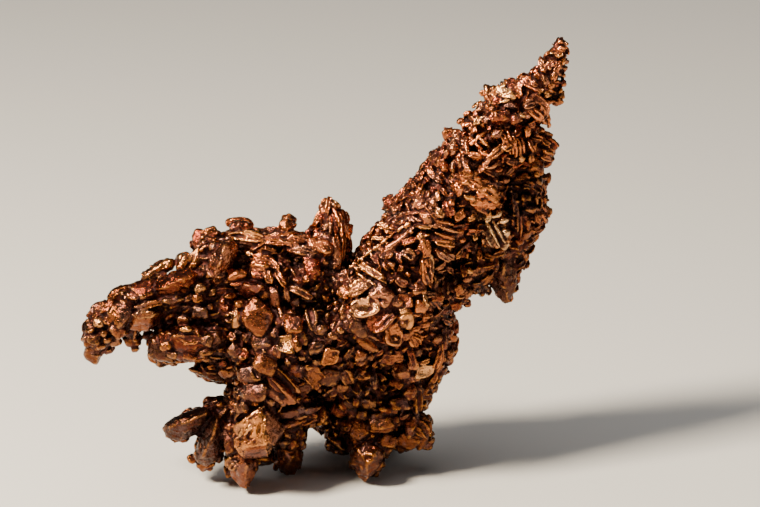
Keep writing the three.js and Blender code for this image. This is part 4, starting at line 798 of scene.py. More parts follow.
C0 = (256, 433)
block([(263, 407), (271, 409), (283, 430), (273, 447), (268, 456), (242, 459), (234, 447), (233, 426), (245, 418)],
      [(262, 407, 2.6), (232, 426, 0.6), (245, 417, 1.8), (266, 444, 4.6), (245, 448, 3.2), (260, 412, 4.0)], C0, 5.5, 0.2, 4.2, "y", 0.4)
solid("spread_crystals", [(u, v, dz, *C0) for u, v, dz in [(266, 411, 3.3), (272, 411, 1.4), (285, 430, 0.6), (275, 446, 1.8), (269, 444, 4.5),
         (266, 411, -1), (284, 430, -3), (274, 446, -2)]], 1.9, "p", 0.45)
solid("spread_crystals", [(u, v, dz, *C0) for u, v, dz in [(243, 450, 3.0), (267, 447, 4.2), (269, 457, 0.8), (242, 460, 0.4), (246, 452, -1.5), (266, 452, -1.5)]],
      1.8, "o", 0.45)
for u, v, L_, W_, an, dz, fin_ in [(250, 427, 24, 6, 58, 2.9, 5), (241, 431, 18, 5, 70, 1.5, 5), (256, 412, 24, 4.5, 34, 2.7, 5),
                                   (264, 428, 30, 4, 84, 3.9, 4)]:
    f0 = field(*C0)[0][0]
    add("spread_crystals", place(u, v, f0 + dz), axes_at(an, slope(u, v) * 0.3, 0), (L_ * UNIT / 2, W_ * UNIT / 2, 0.7), "lens", fin_, "y", 9, root=0.6, grain=0.2)
for u, v, L_, W_, an, dz in [(246, 436, 20, 7, 62, 2.6), (254, 440, 16, 6, 30, 3.3), (238, 441, 14, 7, 80, 1.6)]:
    f0 = field(*C0)[0][0]
    add("spread_crystals", place(u, v, f0 + dz), axes_at(an, slope(u, v) * 0.3, 0), (L_ * UNIT / 2, W_ * UNIT / 2, 0.6), "egg", 2.2, "o", 8, root=0.6, grain=1.2)
# elongated crystals spread to the lower left
block([(163, 431), (167, 438), (180, 442), (197, 434), (213, 421), (215, 411), (204, 406), (188, 411), (172, 418), (164, 424)],
      [(171, 427, 2.6), (190, 421, 3.8), (207, 413, 3.2), (186, 431, 2.6), (201, 424, 2.6), (180, 420, 2.8)], (186, 424), 3.0, 0.2, 2.0, "g", 0.5)
block([(214, 412), (226, 414), (230, 428), (223, 446), (215, 462), (206, 467), (197, 463), (193, 454), (200, 438), (206, 424)],
      [(217, 419, 3.2), (212, 438, 4.0), (203, 456, 2.8), (220, 434, 2.6), (208, 448, 3.2)], (212, 436), 3.0, 0.1, 2.1, "g", 0.5)
block([(235, 448), (246, 450), (257, 462), (255, 477), (246, 489), (240, 487), (231, 476), (228, 460)],
      [(238, 455, 2.2), (247, 465, 3.4), (245, 479, 2.4), (236, 469, 2.4)], (238, 470), 3.0, 0.2, 2.5, "o", 0.5)
block([(273, 446), (287, 440), (301, 447), (303, 462), (295, 476), (286, 477), (275, 466)],
      [(283, 452, 2.0), (293, 459, 2.6), (287, 470, 1.8)], (288, 462), 3.0, 0.0, 2.4, "o", 0.7)
# large crystals of the left arm
block([(150, 291), (155, 300), (168, 303), (187, 297), (198, 285), (198, 273), (188, 268), (172, 271), (158, 279)],
      [(163, 288, 4.2), (180, 280, 5.0), (191, 277, 4.2), (174, 293, 3.8), (186, 288, 4.0)], (170, 284), 3.0, 1.6, 3.6, "r", 0.6)
block([(124, 321), (130, 330), (146, 332), (161, 325), (165, 314), (156, 306), (140, 306), (128, 311)],
      [(136, 315, 3.0), (151, 313, 3.6), (149, 323, 2.6), (135, 323, 2.4)], (146, 319), 3.0, 0.4, 3.3, "o", 0.4)
solid("left_arm", [(u, v, dz, 146, 319) for u, v, dz in [(131, 315, 2.6), (137, 311, 2.8), (152, 310, 3.4), (158, 314, 2.8), (152, 319, 3.6), (136, 320, 3.0), (144, 315, 0.5)]],
      5.0, "y", 0.3)
block([(159, 332), (175, 326), (196, 325), (213, 332), (217, 346), (206, 357), (185, 362), (166, 358), (155, 348)],
      [(177, 335, 4.0), (199, 336, 4.2), (205, 346, 3.0), (176, 350, 2.8), (191, 353, 2.6)], (196, 338), 3.4, 0.3, 2.2, "r", 0.8)
solid("left_arm", [(u, v, dz, 196, 338) for u, v, dz in [(179, 329, 3.0), (197, 328, 3.4), (203, 337, 4.2), (198, 345, 4.0), (184, 346, 3.6), (177, 338, 3.8), (190, 337, 1)]],
      4.2, "o", 0.6)
for u, v, L_, W_, an, dz, fin_, t_ in [(166, 346, 13, 9, 20, 2.3, 3, "o"), (172, 354, 12, 8, -20, 2.2, 2.4, "g"), (207, 340, 13, 14, 70, 3.2, 1.4, "g"),
                                       (206, 352, 14, 9, 20, 2.2, 1.6, "g"), (186, 330, 12, 6, 10, 3.6, 4.5, "y"), (190, 356, 16, 7, -8, 1.8, 2.2, "r")]:
    f0 = field(196, 338)[0][0]
    add("left_arm", place(u, v, f0 + dz), axes_at(an, slope(u, v) * 0.4, 0), (L_ * UNIT / 2, W_ * UNIT / 2, 1.0), "blk", fin_, t_, 9, root=1.0, grain=0.8)
# steep block and red block behind them
block([(208, 286), (216, 291), (227, 284), (235, 262), (239, 246), (232, 238), (222, 240), (212, 252), (205, 270)],
      [(225, 245, 4.8), (220, 262, 6.0), (214, 278, 4.8), (229, 258, 4.6), (213, 268, 4.8)], (220, 262), 3.0, 2.2, 3.4, "p", 0.6)
block([(235, 286), (240, 297), (256, 301), (269, 297), (271, 286), (262, 279), (245, 278)],
      [(244, 285, 2.8), (263, 286, 3.0), (256, 294, 2.6)], (254, 290), 2.6, 0.2, 2.2, "r", 0.45)
# rounded pyramid at the foot of the right lobe, broad dark blade under the long arm
block([(350, 452), (354, 445), (366, 441), (380, 446), (384, 458), (379, 470), (368, 479), (357, 474), (349, 464)],
      [(361, 455, 3.2), (373, 456, 3.8), (367, 466, 3.2), (358, 449, 2.0), (377, 449, 2.4)], (368, 460), 3.4, 0.3, 1.9, "o", 0.9)
block([(487, 262), (500, 254), (514, 256), (518, 272), (516, 288), (510, 303), (505, 305), (497, 297), (489, 284), (485, 272)],
      [(494, 266, 1.6), (504, 261, 2.4), (505, 285, 2.6), (507, 298, 1.2), (512, 271, 1.4), (499, 280, 1.2)], (505, 275), 1.6, 0.2, 1.8, "g", 0.9)
# pair of rounded gold crystals, long ribbed bands along the top edge
for u, v, L_, W_, an, dz, fin_, t_ in [(184, 263, 24, 14, 62, 3.8, 4.6, "y"), (196, 259, 25, 15, 62, 4.0, 4.2, "y")]:
    f0 = field(186, 266)[0][0]
    add("left_arm", place(u, v, f0 + dz - 1.6), axes_at(an, (0, 0), 0), (L_ * UNIT / 2, W_ * UNIT / 2, 1.5), "egg", fin_, t_, 12, root=1.4, grain=0.4)
for u, v, a_, b_, an, dz, fin_, t_, k_ in [(247, 238, 4.4, 1.2, -4, 1.7, 3.6, "y", 3), (284, 242, 4.8, 1.4, -6, 1.7, 3.2, "o", 4), (304, 252, 3.2, 1.1, -10, 1.6, 3.0, "p", 3),
                                           (262, 249, 3.6, 1.0, -12, 1.5, 2.6, "o", 3)]:
    f0 = field(u, max(v, 246))[0][0]
    bundle("ridge_and_peak", place(u, v, f0 + dz - 1.0), axes_at(an, slope(u, v) * 0.4, 0), (a_, b_, 1.0), fin_, t_, k_, n=9, bow=0.15)
# pale fan low on the long arm
for u, v, L_, W_, an, dz, fin_, k_, t_ in [
        (494, 230, 42, 26, -62, 2.6, 3.4, "egg", "y"), (485, 233, 34, 6.5, -64, 3.0, 5, "lens", "w"), (491, 231, 38, 6.5, -62, 3.6, 5, "lens", "w"),
        (497, 229, 36, 6.5, -60, 3.6, 5, "lens", "w"), (497, 214, 14, 9, 35, 3.8, 5, "leaf", "w"), (488, 218, 11, 8, 60, 3.4, 4, "egg", "w"),
        (503, 221, 13, 9, 15, 3.6, 5, "leaf", "w"), (505, 233, 11, 10, -20, 3.2, 4, "egg", "w"), (504, 244, 11, 14, -5, 3.0, 5, "egg", "w")]:
    f0 = field(493, 231)[0][0]
    add("long_arm", place(u, v, f0 + dz * 0.7), axes_at(an, slope(493, 231) * 0.3, 0), (L_ * UNIT / 2, W_ * UNIT / 2, 0.8), k_, fin_, t_, 9, root=1.2, grain=0.4)
# ribbed shell near the tip, and its pale neighbour
bundle("arm_tip", place(535, 109, field(535, 109)[0][0] + 0.9), axes_at(-52, slope(535, 109) * 0.5, 0), (3.0, 2.5, 1.2), 3.9, "o", 6, n=10, bow=0.2)
add("arm_tip", place(506, 93, field(506, 95)[0][0] + 0.6), axes_at(-25, slope(506, 95) * 0.5, 0), (2.2, 1.2, 1.0), "egg", 5, "w", 11, root=1.2, grain=1.2)
# knobs of the right lobe
for u, v, L_, W_, an, dz, fin_, t_, k_ in [(360, 428, 24, 22, 70, 1.9, 2.2, "o", "blk"), (341, 407, 22, 20, 20, 1.6, 2.0, "r", "blk"), (382, 422, 26, 15, 10, 1.8, 2.2, "o", "blk"),
                                           (412, 423, 34, 17, 80, 1.6, 2.4, "r", "lens"), (422, 439, 28, 15, 75, 1.2, 2.2, "o", "lens"), (337, 442, 27, 13, -42, 1.4, 1.7, "g", "lens"),
                                           (368, 401, 19, 18, 0, 1.2, 1.6, "g", "egg"), (398, 404, 23, 15, 10, 1.4, 1.7, "r", "blk"), (403, 443, 18, 17, 30, 1.8, 2.0, "o", "blk"),
                                           (347, 424, 15, 14, 50, 1.6, 2.4, "o", "egg"), (396, 383, 18, 12, -30, 1.0, 1.8, "r", "blk")]:
    f0 = field(u, v)[0][0]
    add("right_lobe", place(u, v, f0 + dz * LIFT - 1.2), axes_at(an, slope(u, v) * 0.6, 0, rng.uniform(-0.2, 0.2)), (L_ * UNIT / 2, W_ * UNIT / 2, 1.7), k_, fin_, t_, 11, root=1.4, grain=0.7)
    HERO = np.concatenate([HERO, [[u, v, L_, W_, an, f0 + dz * LIFT, f0]]])
# crystals behind the top edge stand on their own bases
for u, v, a_, b_, c_, fin_, t_, dz in [(241, 234, 2.8, 1.9, 2.2, 2.4, "r", -3.2), (241, 227, 2.6, 1.5, 1.8, 2.8, "r", -2.6), (286, 229, 1.7, 2.2, 1.8, 2.4, "o", -2.6)]:
    f0 = field(u, max(v, 240))[0][0]
    add("ridge_and_peak", place(u, v, f0 + dz), axes_at(0, (0, 0), 0), (a_, b_, c_), "egg", fin_, t_, 11, root=1.0, grain=0.8)
# the slotted crystal: long lobes side by side
for k, (off, ln, wd, dz, fin_) in enumerate([(-9.5, 36, 14, 1.9, 3.0), (0.5, 44, 13, 3.1, 3.4), (10.5, 40, 13, 2.0, 2.8)]):
    u, v = 280 + off * math.sin(math.radians(42)) * 1.0, 387 - off * math.cos(math.radians(42))
    f0 = field(280, 387)[0][0]
    add("middle_left", place(u, v, f0 + dz - 0.8), axes_at(-46, slope(280, 387) * 0.4, 0), (ln * UNIT / 2, wd * UNIT / 2, 1.6), "lens", fin_, "pro"[k % 3], 14, root=1.8, grain=0.3)
add("middle_left", place(280, 387, field(280, 387)[0][0] + 0.4), axes_at(-46, slope(280, 387) * 0.4, 0), (21 * UNIT, 13 * UNIT, 1.6), "egg", 2.4, "p", 14, root=1.6, grain=0.4)


# ------------------------------------------------------------------ small crystals all over the limbs
def limb_points(step_u):
    """Points spread over the outside of the limbs: u, v, mm forward, normal parts."""
    out = []
    for k, (u0, v0, w0, d0, c0, u1, v1, w1, d1, c1) in enumerate(LINKS):
        lu, lv = u1 - u0, v1 - v0
        m = math.hypot(lu, lv)
        nu, nv = -lv / m, lu / m
        steps = max(2, int(m / step_u))
        for i in range(-int(w0 / step_u), steps + int(w1 / step_u) + 1):
            t0 = (i + rng.uniform(-0.35, 0.35)) / steps
            t = min(1, max(0, t0))
            over = (t0 - t) * m
            w, d, c = w0 + (w1 - w0) * t, d0 + (d1 - d0) * t, c0 + (c1 - c0) * t
            if abs(over) >= w * 0.97:
                continue
            cap = math.sqrt(1 - (over / w) ** 2)
            wr, cr = w * cap, c * cap
            around = max(3, int(math.pi * (wr * UNIT + cr) / (step_u * UNIT)))
            ph0 = rng.uniform(0, 6.28)
            for j in range(around):
                ph = ph0 + (j + rng.uniform(-0.35, 0.35)) * 2 * math.pi / around
                cu = u0 + lu * t0 + nu * wr * math.cos(ph)
                cv = v0 + lv * t0 + nv * wr * math.cos(ph)
                cd = d + cr * math.sin(ph)
                nx = nu * math.cos(ph) / (w * UNIT) + (lu / m) * over / w / (w * UNIT)
                ny = nv * math.cos(ph) / (w * UNIT) + (lv / m) * over / w / (w * UNIT)
                nd = math.sin(ph) / c
                out.append((cu, cv, cd, nx, -ny, nd, k))
    P = np.array(out)
    # drop the points inside another limb
    keep = np.ones(len(P), bool)
    for k, (u0, v0, w0, d0, c0, u1, v1, w1, d1, c1) in enumerate(LINKS):
        lu, lv = u1 - u0, v1 - v0
        t = np.clip(((P[:, 0] - u0) * lu + (P[:, 1] - v0) * lv) / (lu * lu + lv * lv), 0, 1)
        w, d, c = w0 + (w1 - w0) * t, d0 + (d1 - d0) * t, c0 + (c1 - c0) * t
        r2 = ((P[:, 0] - u0 - lu * t) ** 2 + (P[:, 1] - v0 - lv * t) ** 2) / w ** 2 + ((P[:, 2] - d) / c) ** 2
        keep &= (r2 > 0.9) | (P[:, 6] == k)
    return P[keep]


def thin(P, gap):
    """Keeps points at least gap mm apart."""
    X = np.stack([P[:, 0] * UNIT, P[:, 1] * UNIT, P[:, 2]], 1)
    cells, keep = {}, []
    for i, x in enumerate(X):
        key = tuple((x // gap).astype(int))
        ok = True
        for a in (-1, 0, 1):
            for b in (-1, 0, 1):
                for c in (-1, 0, 1):
                    for j in cells.get((key[0] + a, key[1] + b, key[2] + c), ()):
                        if ((X[j] - x) ** 2).sum() < gap * gap:
                            ok = False
        if ok:
            cells.setdefault(key, []).append(i)
            keep.append(i)
    return P[keep]


def habits(u, v):
    if u < 232 and v < 385:
        return ["egg", "blk", "blk", "lens"], "rog", (1.0, 2.6)
    if v > 385:
        return ["egg", "lens", "blk", "bean"], "gor", (0.8, 2.2)
    if (u - 345) * 0.62 + (330 - v) * 0.78 > 40:
        return ["leaf", "rib", "lens", "leaf", "egg"], "opor", (1.6, 3.4)
    return ["lens", "bean", "blk", "egg", "hop", "blk"], "ggor", (0.6, 2.2)


def flow(u, v):
    """Which way the small crystals lie, degrees counter-clockwise from right."""
    if (u - 345) * 0.62 + (330 - v) * 0.78 > 40:      # long arm: ribs fan out from a spine that runs up it
        side = (u - 345) * 0.78 - (330 - v) * 0.62
        return 52 + (58 if side < -4 else -62 if side > 10 else 0) + rng.uniform(-22, 22)
    if u < 232 and v < 385:
        return 22 + rng.uniform(-25, 25)
    if v > 395 and u < 322:
        return math.degrees(math.atan2(-(v - 385), u - 262)) + rng.uniform(-20, 20)
    return rng.uniform(0, 180)


HERO_B = []
order = [r for r in CRYSTALS if math.sqrt(r[2] * r[3]) > 10.5]
for u, v, L, W, ang, dz, T, tilt, kind, finish, tone in order:
    u, v = u + rng.normal() * 6, v + rng.normal() * 6
    h_, near_ = field(u, v, -1)
    if near_[0] > 0.90:
        continue
    k = rng.uniform(0.85, 1.25)
    th = math.radians(ang + rng.uniform(-25, 25))
    for _ in range(4):        # its ends stay over the limb
        cu, su = math.cos(th) * L / 2 * k, math.sin(th) * L / 2 * k
        cw, sw = -math.sin(th) * W / 2 * k, math.cos(th) * W / 2 * k
        out_ = field(np.array([u + cu, u - cu, u + cw, u - cw]), np.array([v - su, v + su, v - sw, v + sw]), -1)[1].max()
        if out_ < 1.0:
            break
        k *= 0.85
    if out_ > 1.08:
        continue
    a, b, c = L * UNIT / 2 * k, W * UNIT / 2 * k, T * UNIT / 2 * k
    f0 = h_[0]
    fwd = f0 - LIFT * dz * 0.8 + SINK * T * UNIT
    e = 5.0
    fb = field(np.array([u + e, u - e, u, u]), np.array([v, v, v - e, v + e]), -1)[0]
    g = np.array([fb[0] - fb[1], fb[2] - fb[3]]) / (2 * e * UNIT)
    m = np.hypot(*g); g = g * (0.9 / m) if m > 0.9 else g
    nrm = unit(0.8 * g[0] * RIGHT + 0.8 * g[1] * UP - OUT)
    dirn = RIGHT * math.cos(th) + UP * math.sin(th)
    l = unit(dirn - nrm * (dirn @ nrm)); Mx = np.stack([l, np.cross(nrm, l), nrm])
    reg = region(u, v, True)
    C = place(u, v, fwd)
    if kind in ("leaf", "rib", "bean") or (v < 300 and u > 370 and rng.uniform() < 0.7):
        if b > a:
            Mx = np.stack([Mx[1], -Mx[0], Mx[2]]); a, b = b, a
        bundle(reg, C, Mx, (a, b, c), finish - 0.2, tone, int(np.clip(round(2 * b / UNIT / 4.6), 2, 5)), n=7)
    else:
        add(reg, C, Mx, (a, b, c), kind, finish - 0.2, tone, int(np.clip(round(k * math.sqrt(L * W) * 0.4 + 2), 6, 13)), grain=0.6)
    HERO_B.append((u, v, L * k, W * k, ang, fwd - c * 0.8, f0))
HERO_B = np.array(HERO_B)


def hidden_behind(u, v, fwd):
    du, dv = u - HERO_B[:, 0], HERO_B[:, 1] - v
    ca, sa = np.cos(np.radians(HERO_B[:, 4])), np.sin(np.radians(HERO_B[:, 4]))
    p, q = (du * ca + dv * sa) / (HERO_B[:, 2] / 2), (-du * sa + dv * ca) / (HERO_B[:, 3] / 2)
    return bool(((p * p + q * q < 0.55) & (HERO_B[:, 5] < fwd + 0.2)).any())


P = limb_points(6.0)
P = P[rng.permutation(len(P))]
facing = P[:, 5] > -0.02
F = thin(P[facing], 1.5)
B = thin(P[~facing], 1.9)
count_f = count_b = 0
print("larger at the back", len(HERO_B))
for u, v, d, nx, ny, nd, _ in F:
    if hidden_by_hero(u, v, d - 0.2):
        continue
    ks, tones, fr = habits(u, v)
    reg = region(u, v)
    N = unit(RIGHT * nx + UP * ny + OUT * nd)
    N = unit(N + rng.normal(size=3) * 0.22)
    arm = reg in ("long_arm", "arm_tip")
    th = math.radians(flow(u, v))
    dirn = RIGHT * math.cos(th) + UP * math.sin(th)
    l = unit(dirn - N * (dirn @ N)); Mx = np.stack([l, np.cross(N, l), N])
    tone = tones[rng.integers(len(tones))]; fin_ = rng.uniform(*fr)
    if (arm and rng.uniform() < 0.72) or rng.uniform() < 0.3:
        r = rng.uniform(0.55, 1.05)
        bundle(reg, place(u, v, d + rng.uniform(-0.75, -0.2)), Mx, (r * rng.uniform(1.7, 2.8), r, r * 0.9), fin_, tone, 2 if r < 0.72 else 3, root=1.0, n=6)
    else:
        r = rng.uniform(0.5, 1.2)
        add(reg, place(u, v, d + rng.uniform(-1.1, -0.25)), Mx, (r * rng.uniform(1.0, 1.8) * 0.9, r * 0.85, r * 0.85),
            ks[rng.integers(len(ks))], fin_, tone, 5, root=1.0)
    count_f += 1
for u, v, d, nx, ny, nd, _ in B:
    if nd < -0.03 and hidden_behind(u, v, d + 0.2):
        continue
    ks, tones, fr = habits(u, v)
    N = unit(RIGHT * nx + UP * ny + OUT * nd)
    r = rng.uniform(0.6, 1.25) * 1.15
    e = rng.uniform(1.0, 2.0)
    N = unit(N + rng.normal(size=3) * 0.22)
    th = math.radians(flow(u, v))
    dirn = RIGHT * math.cos(th) + UP * math.sin(th)
    l = unit(dirn - N * (dirn @ N)); Mx = np.stack([l, np.cross(N, l), N])
    k = ks[rng.integers(len(ks))]; tone = tones[rng.integers(len(tones))]; fin_ = rng.uniform(*fr) + 0.3
    C = place(u, v, d + rng.uniform(0.0, 0.7))
    if k in ("leaf", "rib", "bean"):
        bundle(region(u, v, True), C, Mx, (r * e * 1.15, r * 0.85, r * 0.9), fin_, tone, 3, root=1.4, n=6)
    else:
        add(region(u, v, True), C, Mx, (r * e * 0.9, r * 0.85, r * 0.9), k, fin_, tone, 6, root=1.4)
    count_b += 1
print("crystals", len(CRYSTALS), "front small", count_f, "back", count_b)

# ------------------------------------------------------------------ the mass between the crystals
for name, chain in LIMBS.items():
    for k, (u0, v0, w0, d0, c0) in enumerate(chain[:-1]):
        u1, v1, w1, d1, c1 = chain[k + 1]
        lu, lv = u1 - u0, v1 - v0
        m = math.hypot(lu, lv)
        D, Q = template(10)
        # a rounded bar from one section to the next
        s = np.clip(D[:, 0] * 1.6, -1, 1)
        t = (s + 1) / 2
        w, d, c = w0 + (w1 - w0) * t, d0 + (d1 - d0) * t, c0 + (c1 - c0) * t
        rho = np.hypot(D[:, 1], D[:, 2])
        full = np.abs(D[:, 0]) < 0.625
        over = np.where(full, 0, (np.abs(D[:, 0]) - 0.625) / 0.375)
        rad = np.where(full, 1.0, np.sqrt(np.maximum(1 - over ** 2, 0)))
        cy, cz = D[:, 1] / np.maximum(rho, 1e-9), D[:, 2] / np.maximum(rho, 1e-9)
        a = np.sign(D[:, 0]) * over * w
        U = u0 + lu * t + (lu / m) * a + (-lv / m) * cy * w * rad * SLIM
        V = v0 + lv * t + (lv / m) * a + (lu / m) * cy * w * rad * SLIM
        F_ = d + cz * c * rad * SLIM
        W = place(U, V, F_)
        mid = W.mean(0)
        W = W + unit_rows(W - mid) * (lumps(W, 1.3) * 0.35)[:, None]
        W[:, 2] = np.maximum(W[:, 2], 0.8)
        # same turning sense as the other pieces
        q = Q[len(Q) // 2]
        nrm = np.cross(W[q[1]] - W[q[0]], W[q[2]] - W[q[0]])
        if nrm @ (W[q].mean(0) - mid) < 0:
            Q = Q[:, ::-1]
        uu, vv = (u0 + u1) / 2, (v0 + v1) / 2
        reg = "back_crystals_left" if name in ("back", "back_lobe", "back_fan", "back_left") else region(uu, vv)
        PIECES.setdefault(reg, []).append((W, halves(Q), np.array([0.05, 0.017, 0.008]), 0.0, 1.6))

# ------------------------------------------------------------------ material
def copper_material():
    m = bpy.data.materials.new("native_copper")
    m.use_nodes = True
    nt = m.node_tree
    for n in list(nt.nodes):
        nt.nodes.remove(n)
    N = nt.nodes.new
    Lk = nt.links.new

    def node(t, **kw):
        n = N(t)
        for k, v in kw.items():
            setattr(n, k, v)
        return n
    out = node("ShaderNodeOutputMaterial")
    bsdf = node("ShaderNodeBsdfPrincipled")
    Lk(bsdf.outputs[0], out.inputs[0])
    tc = node("ShaderNodeTexCoord")
    col = node("ShaderNodeAttribute", attribute_name="tint")
    cav = node("ShaderNodeAttribute", attribute_name="crevice_shade")
    fin = node("ShaderNodeAttribute", attribute_name="polish")
    bend = node("ShaderNodeAttribute", attribute_name="bend")
    seam = node("ShaderNodeAttribute", attribute_name="seam")

    def noise(scale, detail=4.0, rough=0.6, dist=0.0):
        n = node("ShaderNodeTexNoise")
        n.inputs["Scale"].default_value = scale
        n.inputs["Detail"].default_value = detail
        n.inputs["Roughness"].default_value = rough
        n.inputs["Distortion"].default_value = dist
        Lk(tc.outputs["Object"], n.inputs["Vector"])
        return n

    def math_(op, a, b=None, c=None, clamp=False):
        n = node("ShaderNodeMath", operation=op, use_clamp=clamp)
        for i, q in enumerate((a, b, c)):
            if q is None:
                continue
            if isinstance(q, (int, float)):
                n.inputs[i].default_value = q
            else:
                Lk(q, n.inputs[i])
        return n.outputs[0]

    def ramp(x, stops, mode="EASE"):
        n = node("ShaderNodeValToRGB")
        n.color_ramp.interpolation = mode
        while len(n.color_ramp.elements) < len(stops):
            n.color_ramp.elements.new(0.5)
        for e, (p, c) in zip(n.color_ramp.elements, stops):
            e.position = p
            e.color = (c, c, c, 1) if isinstance(c, (int, float)) else (*c, 1)
        Lk(x, n.inputs[0])
        return n.outputs[0]

    def mix(f, a, b, mode="MIX"):
        n = node("ShaderNodeMix", data_type="RGBA", blend_type=mode)
        for i, q in ((0, f), (6, a), (7, b)):
            if isinstance(q, (int, float)):
                n.inputs[i].default_value = q
            elif isinstance(q, tuple):
                n.inputs[i].default_value = (*q, 1)
            else:
                Lk(q, n.inputs[i])
        return n.outputs[2]
    big = noise(140, 5, 0.62)
    mid = noise(520, 5, 0.65, 0.4)
    fine = noise(2100, 4, 0.7)

    def facets(scale, tilt):
        """Height of a pattern of small flat faces, each leaning its own way."""
        v = node("ShaderNodeTexVoronoi", feature="F1")
        v.inputs["Scale"].default_value = scale
        v.inputs["Randomness"].default_value = 1.0
        Lk(tc.outputs["Object"], v.inputs["Vector"])
        sc = node("ShaderNodeVectorMath", operation="SCALE")
        sc.inputs["Scale"].default_value = scale
        Lk(tc.outputs["Object"], sc.inputs[0])
        ps = node("ShaderNodeVectorMath", operation="SCALE")
        ps.inputs["Scale"].default_value = scale
        Lk(v.outputs["Position"], ps.inputs[0])
        d = node("ShaderNodeVectorMath", operation="SUBTRACT")
        Lk(sc.outputs[0], d.inputs[0]); Lk(ps.outputs[0], d.inputs[1])
        t = node("ShaderNodeVectorMath", operation="SUBTRACT")
        Lk(v.outputs["Color"], t.inputs[0]); t.inputs[1].default_value = (0.5, 0.5, 0.5)
        dot = node("ShaderNodeVectorMath", operation="DOT_PRODUCT")
        Lk(d.outputs[0], dot.inputs[0]); Lk(t.outputs[0], dot.inputs[1])
        return math_("MULTIPLY", dot.outputs["Value"], tilt)

    # tarnish and painted shade: darker in shut-in crevices and hollows (oxide there, and painted shade), at seams and
    # in random patches (tarnish)
    def about(x, k):
        return math_("MULTIPLY", math_("SUBTRACT", x, 0.5), k)
    hollow_oxide_and_shade = math_("MULTIPLY", bend.outputs["Fac"], -0.55)
    t = math_("ADD", math_("MULTIPLY", cav.outputs["Fac"], 0.9), hollow_oxide_and_shade)
    t = math_("ADD", t, math_("MULTIPLY", seam.outputs["Fac"], 0.35))
    t = math_("ADD", t, about(big.outputs[0], 1.3))
    t = math_("ADD", t, about(mid.outputs[0], 1.5))
    t = math_("ADD", t, about(fine.outputs[0], 0.9))
    dark = ramp(t, [(0.20, 0.0), (0.68, 1.0)])
    # grey-brown film and rust-red film in patches
    patch = ramp(math_("ADD", noise(210, 4, 0.6, 0.3).outputs[0], about(fine.outputs[0], 0.35)), [(0.50, 0.0), (0.64, 1.0)])
    c0 = mix(math_("MULTIPLY", patch, 0.62), col.outputs["Color"], (0.115, 0.065, 0.060))
    rust = ramp(math_("ADD", math_("ADD", noise(330, 4, 0.6, 0.5).outputs[0], about(cav.outputs["Fac"], 0.25)), about(fine.outputs[0], 0.3)), [(0.54, 0.0), (0.64, 1.0)])
    c0 = mix(math_("MULTIPLY", rust, 0.40), c0, (0.36, 0.070, 0.018))
    # near-black mix: tarnish in patches and at seams, oxide and painted shade in crevices and hollows
    c1 = mix(dark, c0, (0.0155, 0.0044, 0.0042))
    # red and brown oxide in patches
    red = ramp(math_("ADD", mid.outputs[0], about(fine.outputs[0], 0.5)), [(0.48, 0.0), (0.62, 1.0)])
    c2 = mix(math_("MULTIPLY", red, 0.45), c1, (0.10, 0.018, 0.008))
    # edges worn to bare metal
    w = math_("ADD", bend.outputs["Fac"], about(fine.outputs[0], 0.7))
    w = math_("SUBTRACT", w, math_("MULTIPLY", cav.outputs["Fac"], 0.5))
    worn = ramp(w, [(0.08, 0.0), (0.42, 1.0)])
    c3 = mix(math_("MULTIPLY", worn, 0.55), c2, mix(0.50, col.outputs["Color"], (0.92, 0.36, 0.070)))
    Lk(c3, bsdf.inputs["Base Color"])
    bare = math_("MAXIMUM", worn, math_("SUBTRACT", 1.0, dark))
    Lk(math_("ADD", 0.72, math_("MULTIPLY", bare, 0.28)), bsdf.inputs["Metallic"])
    bsdf.inputs["Specular IOR Level"].default_value = 0.25
    r = math_("SUBTRACT", 0.46, math_("MULTIPLY", bare, 0.20))
    r = math_("ADD", r, about(mid.outputs[0], 0.35))
    r = math_("SUBTRACT", r, math_("MULTIPLY", fin.outputs["Fac"], 0.12), clamp=True)
    Lk(r, bsdf.inputs["Roughness"])
    b1 = node("ShaderNodeBump")
    b1.inputs["Strength"].default_value = 0.9
    b1.inputs["Distance"].default_value = 0.00030
    Lk(math_("ADD", facets(1300, 0.7), mid.outputs[0]), b1.inputs["Height"])
    b2 = node("ShaderNodeBump")
    b2.inputs["Strength"].default_value = 0.6
    b2.inputs["Distance"].default_value = 0.00010
    Lk(math_("ADD", facets(4200, 0.6), fine.outputs[0]), b2.inputs["Height"])
    Lk(b1.outputs[0], b2.inputs["Normal"])
    Lk(b2.outputs[0], bsdf.inputs["Normal"])
    return m


COPPER_MAT = copper_material()

# ------------------------------------------------------------------ noise on points
def hashed(i, seed):
    h = (i[..., 0] * 73856093) ^ (i[..., 1] * 19349663) ^ (i[..., 2] * 83492791) ^ (seed * 2654435761)
    h = (h ^ (h >> 13)) * 1274126177
    h = h & 0x7FFFFFFF
    return h


def rand3(i, seed):
    h = hashed(i, seed)
    return np.stack([(h & 1023), (h >> 10) & 1023, (h >> 20) & 1023], -1) / 1023.0


def cells(X, size, seed):
    """Nearest and next cell centre: distance, gap to the next, offset from the centre, random triple."""
    G = np.floor(X / size).astype(np.int64)
    best = np.full(len(X), 1e9); second = np.full(len(X), 1e9)
    off = np.zeros((len(X), 3)); rnd = np.zeros((len(X), 3))
    for a in (-1, 0, 1):
        for b in (-1, 0, 1):
            for c in (-1, 0, 1):
                g = G + np.array([a, b, c])
                r = rand3(g, seed)
                d = X - (g + 0.1 + 0.8 * r) * size
                q = (d * d).sum(1)
                better = q < best
                second = np.where(better, best, np.minimum(second, q))
                best = np.where(better, q, best)
                off[better] = d[better]
                rnd[better] = r[better]
    return np.sqrt(best) / size, (np.sqrt(second) - np.sqrt(best)) / size, off, rnd


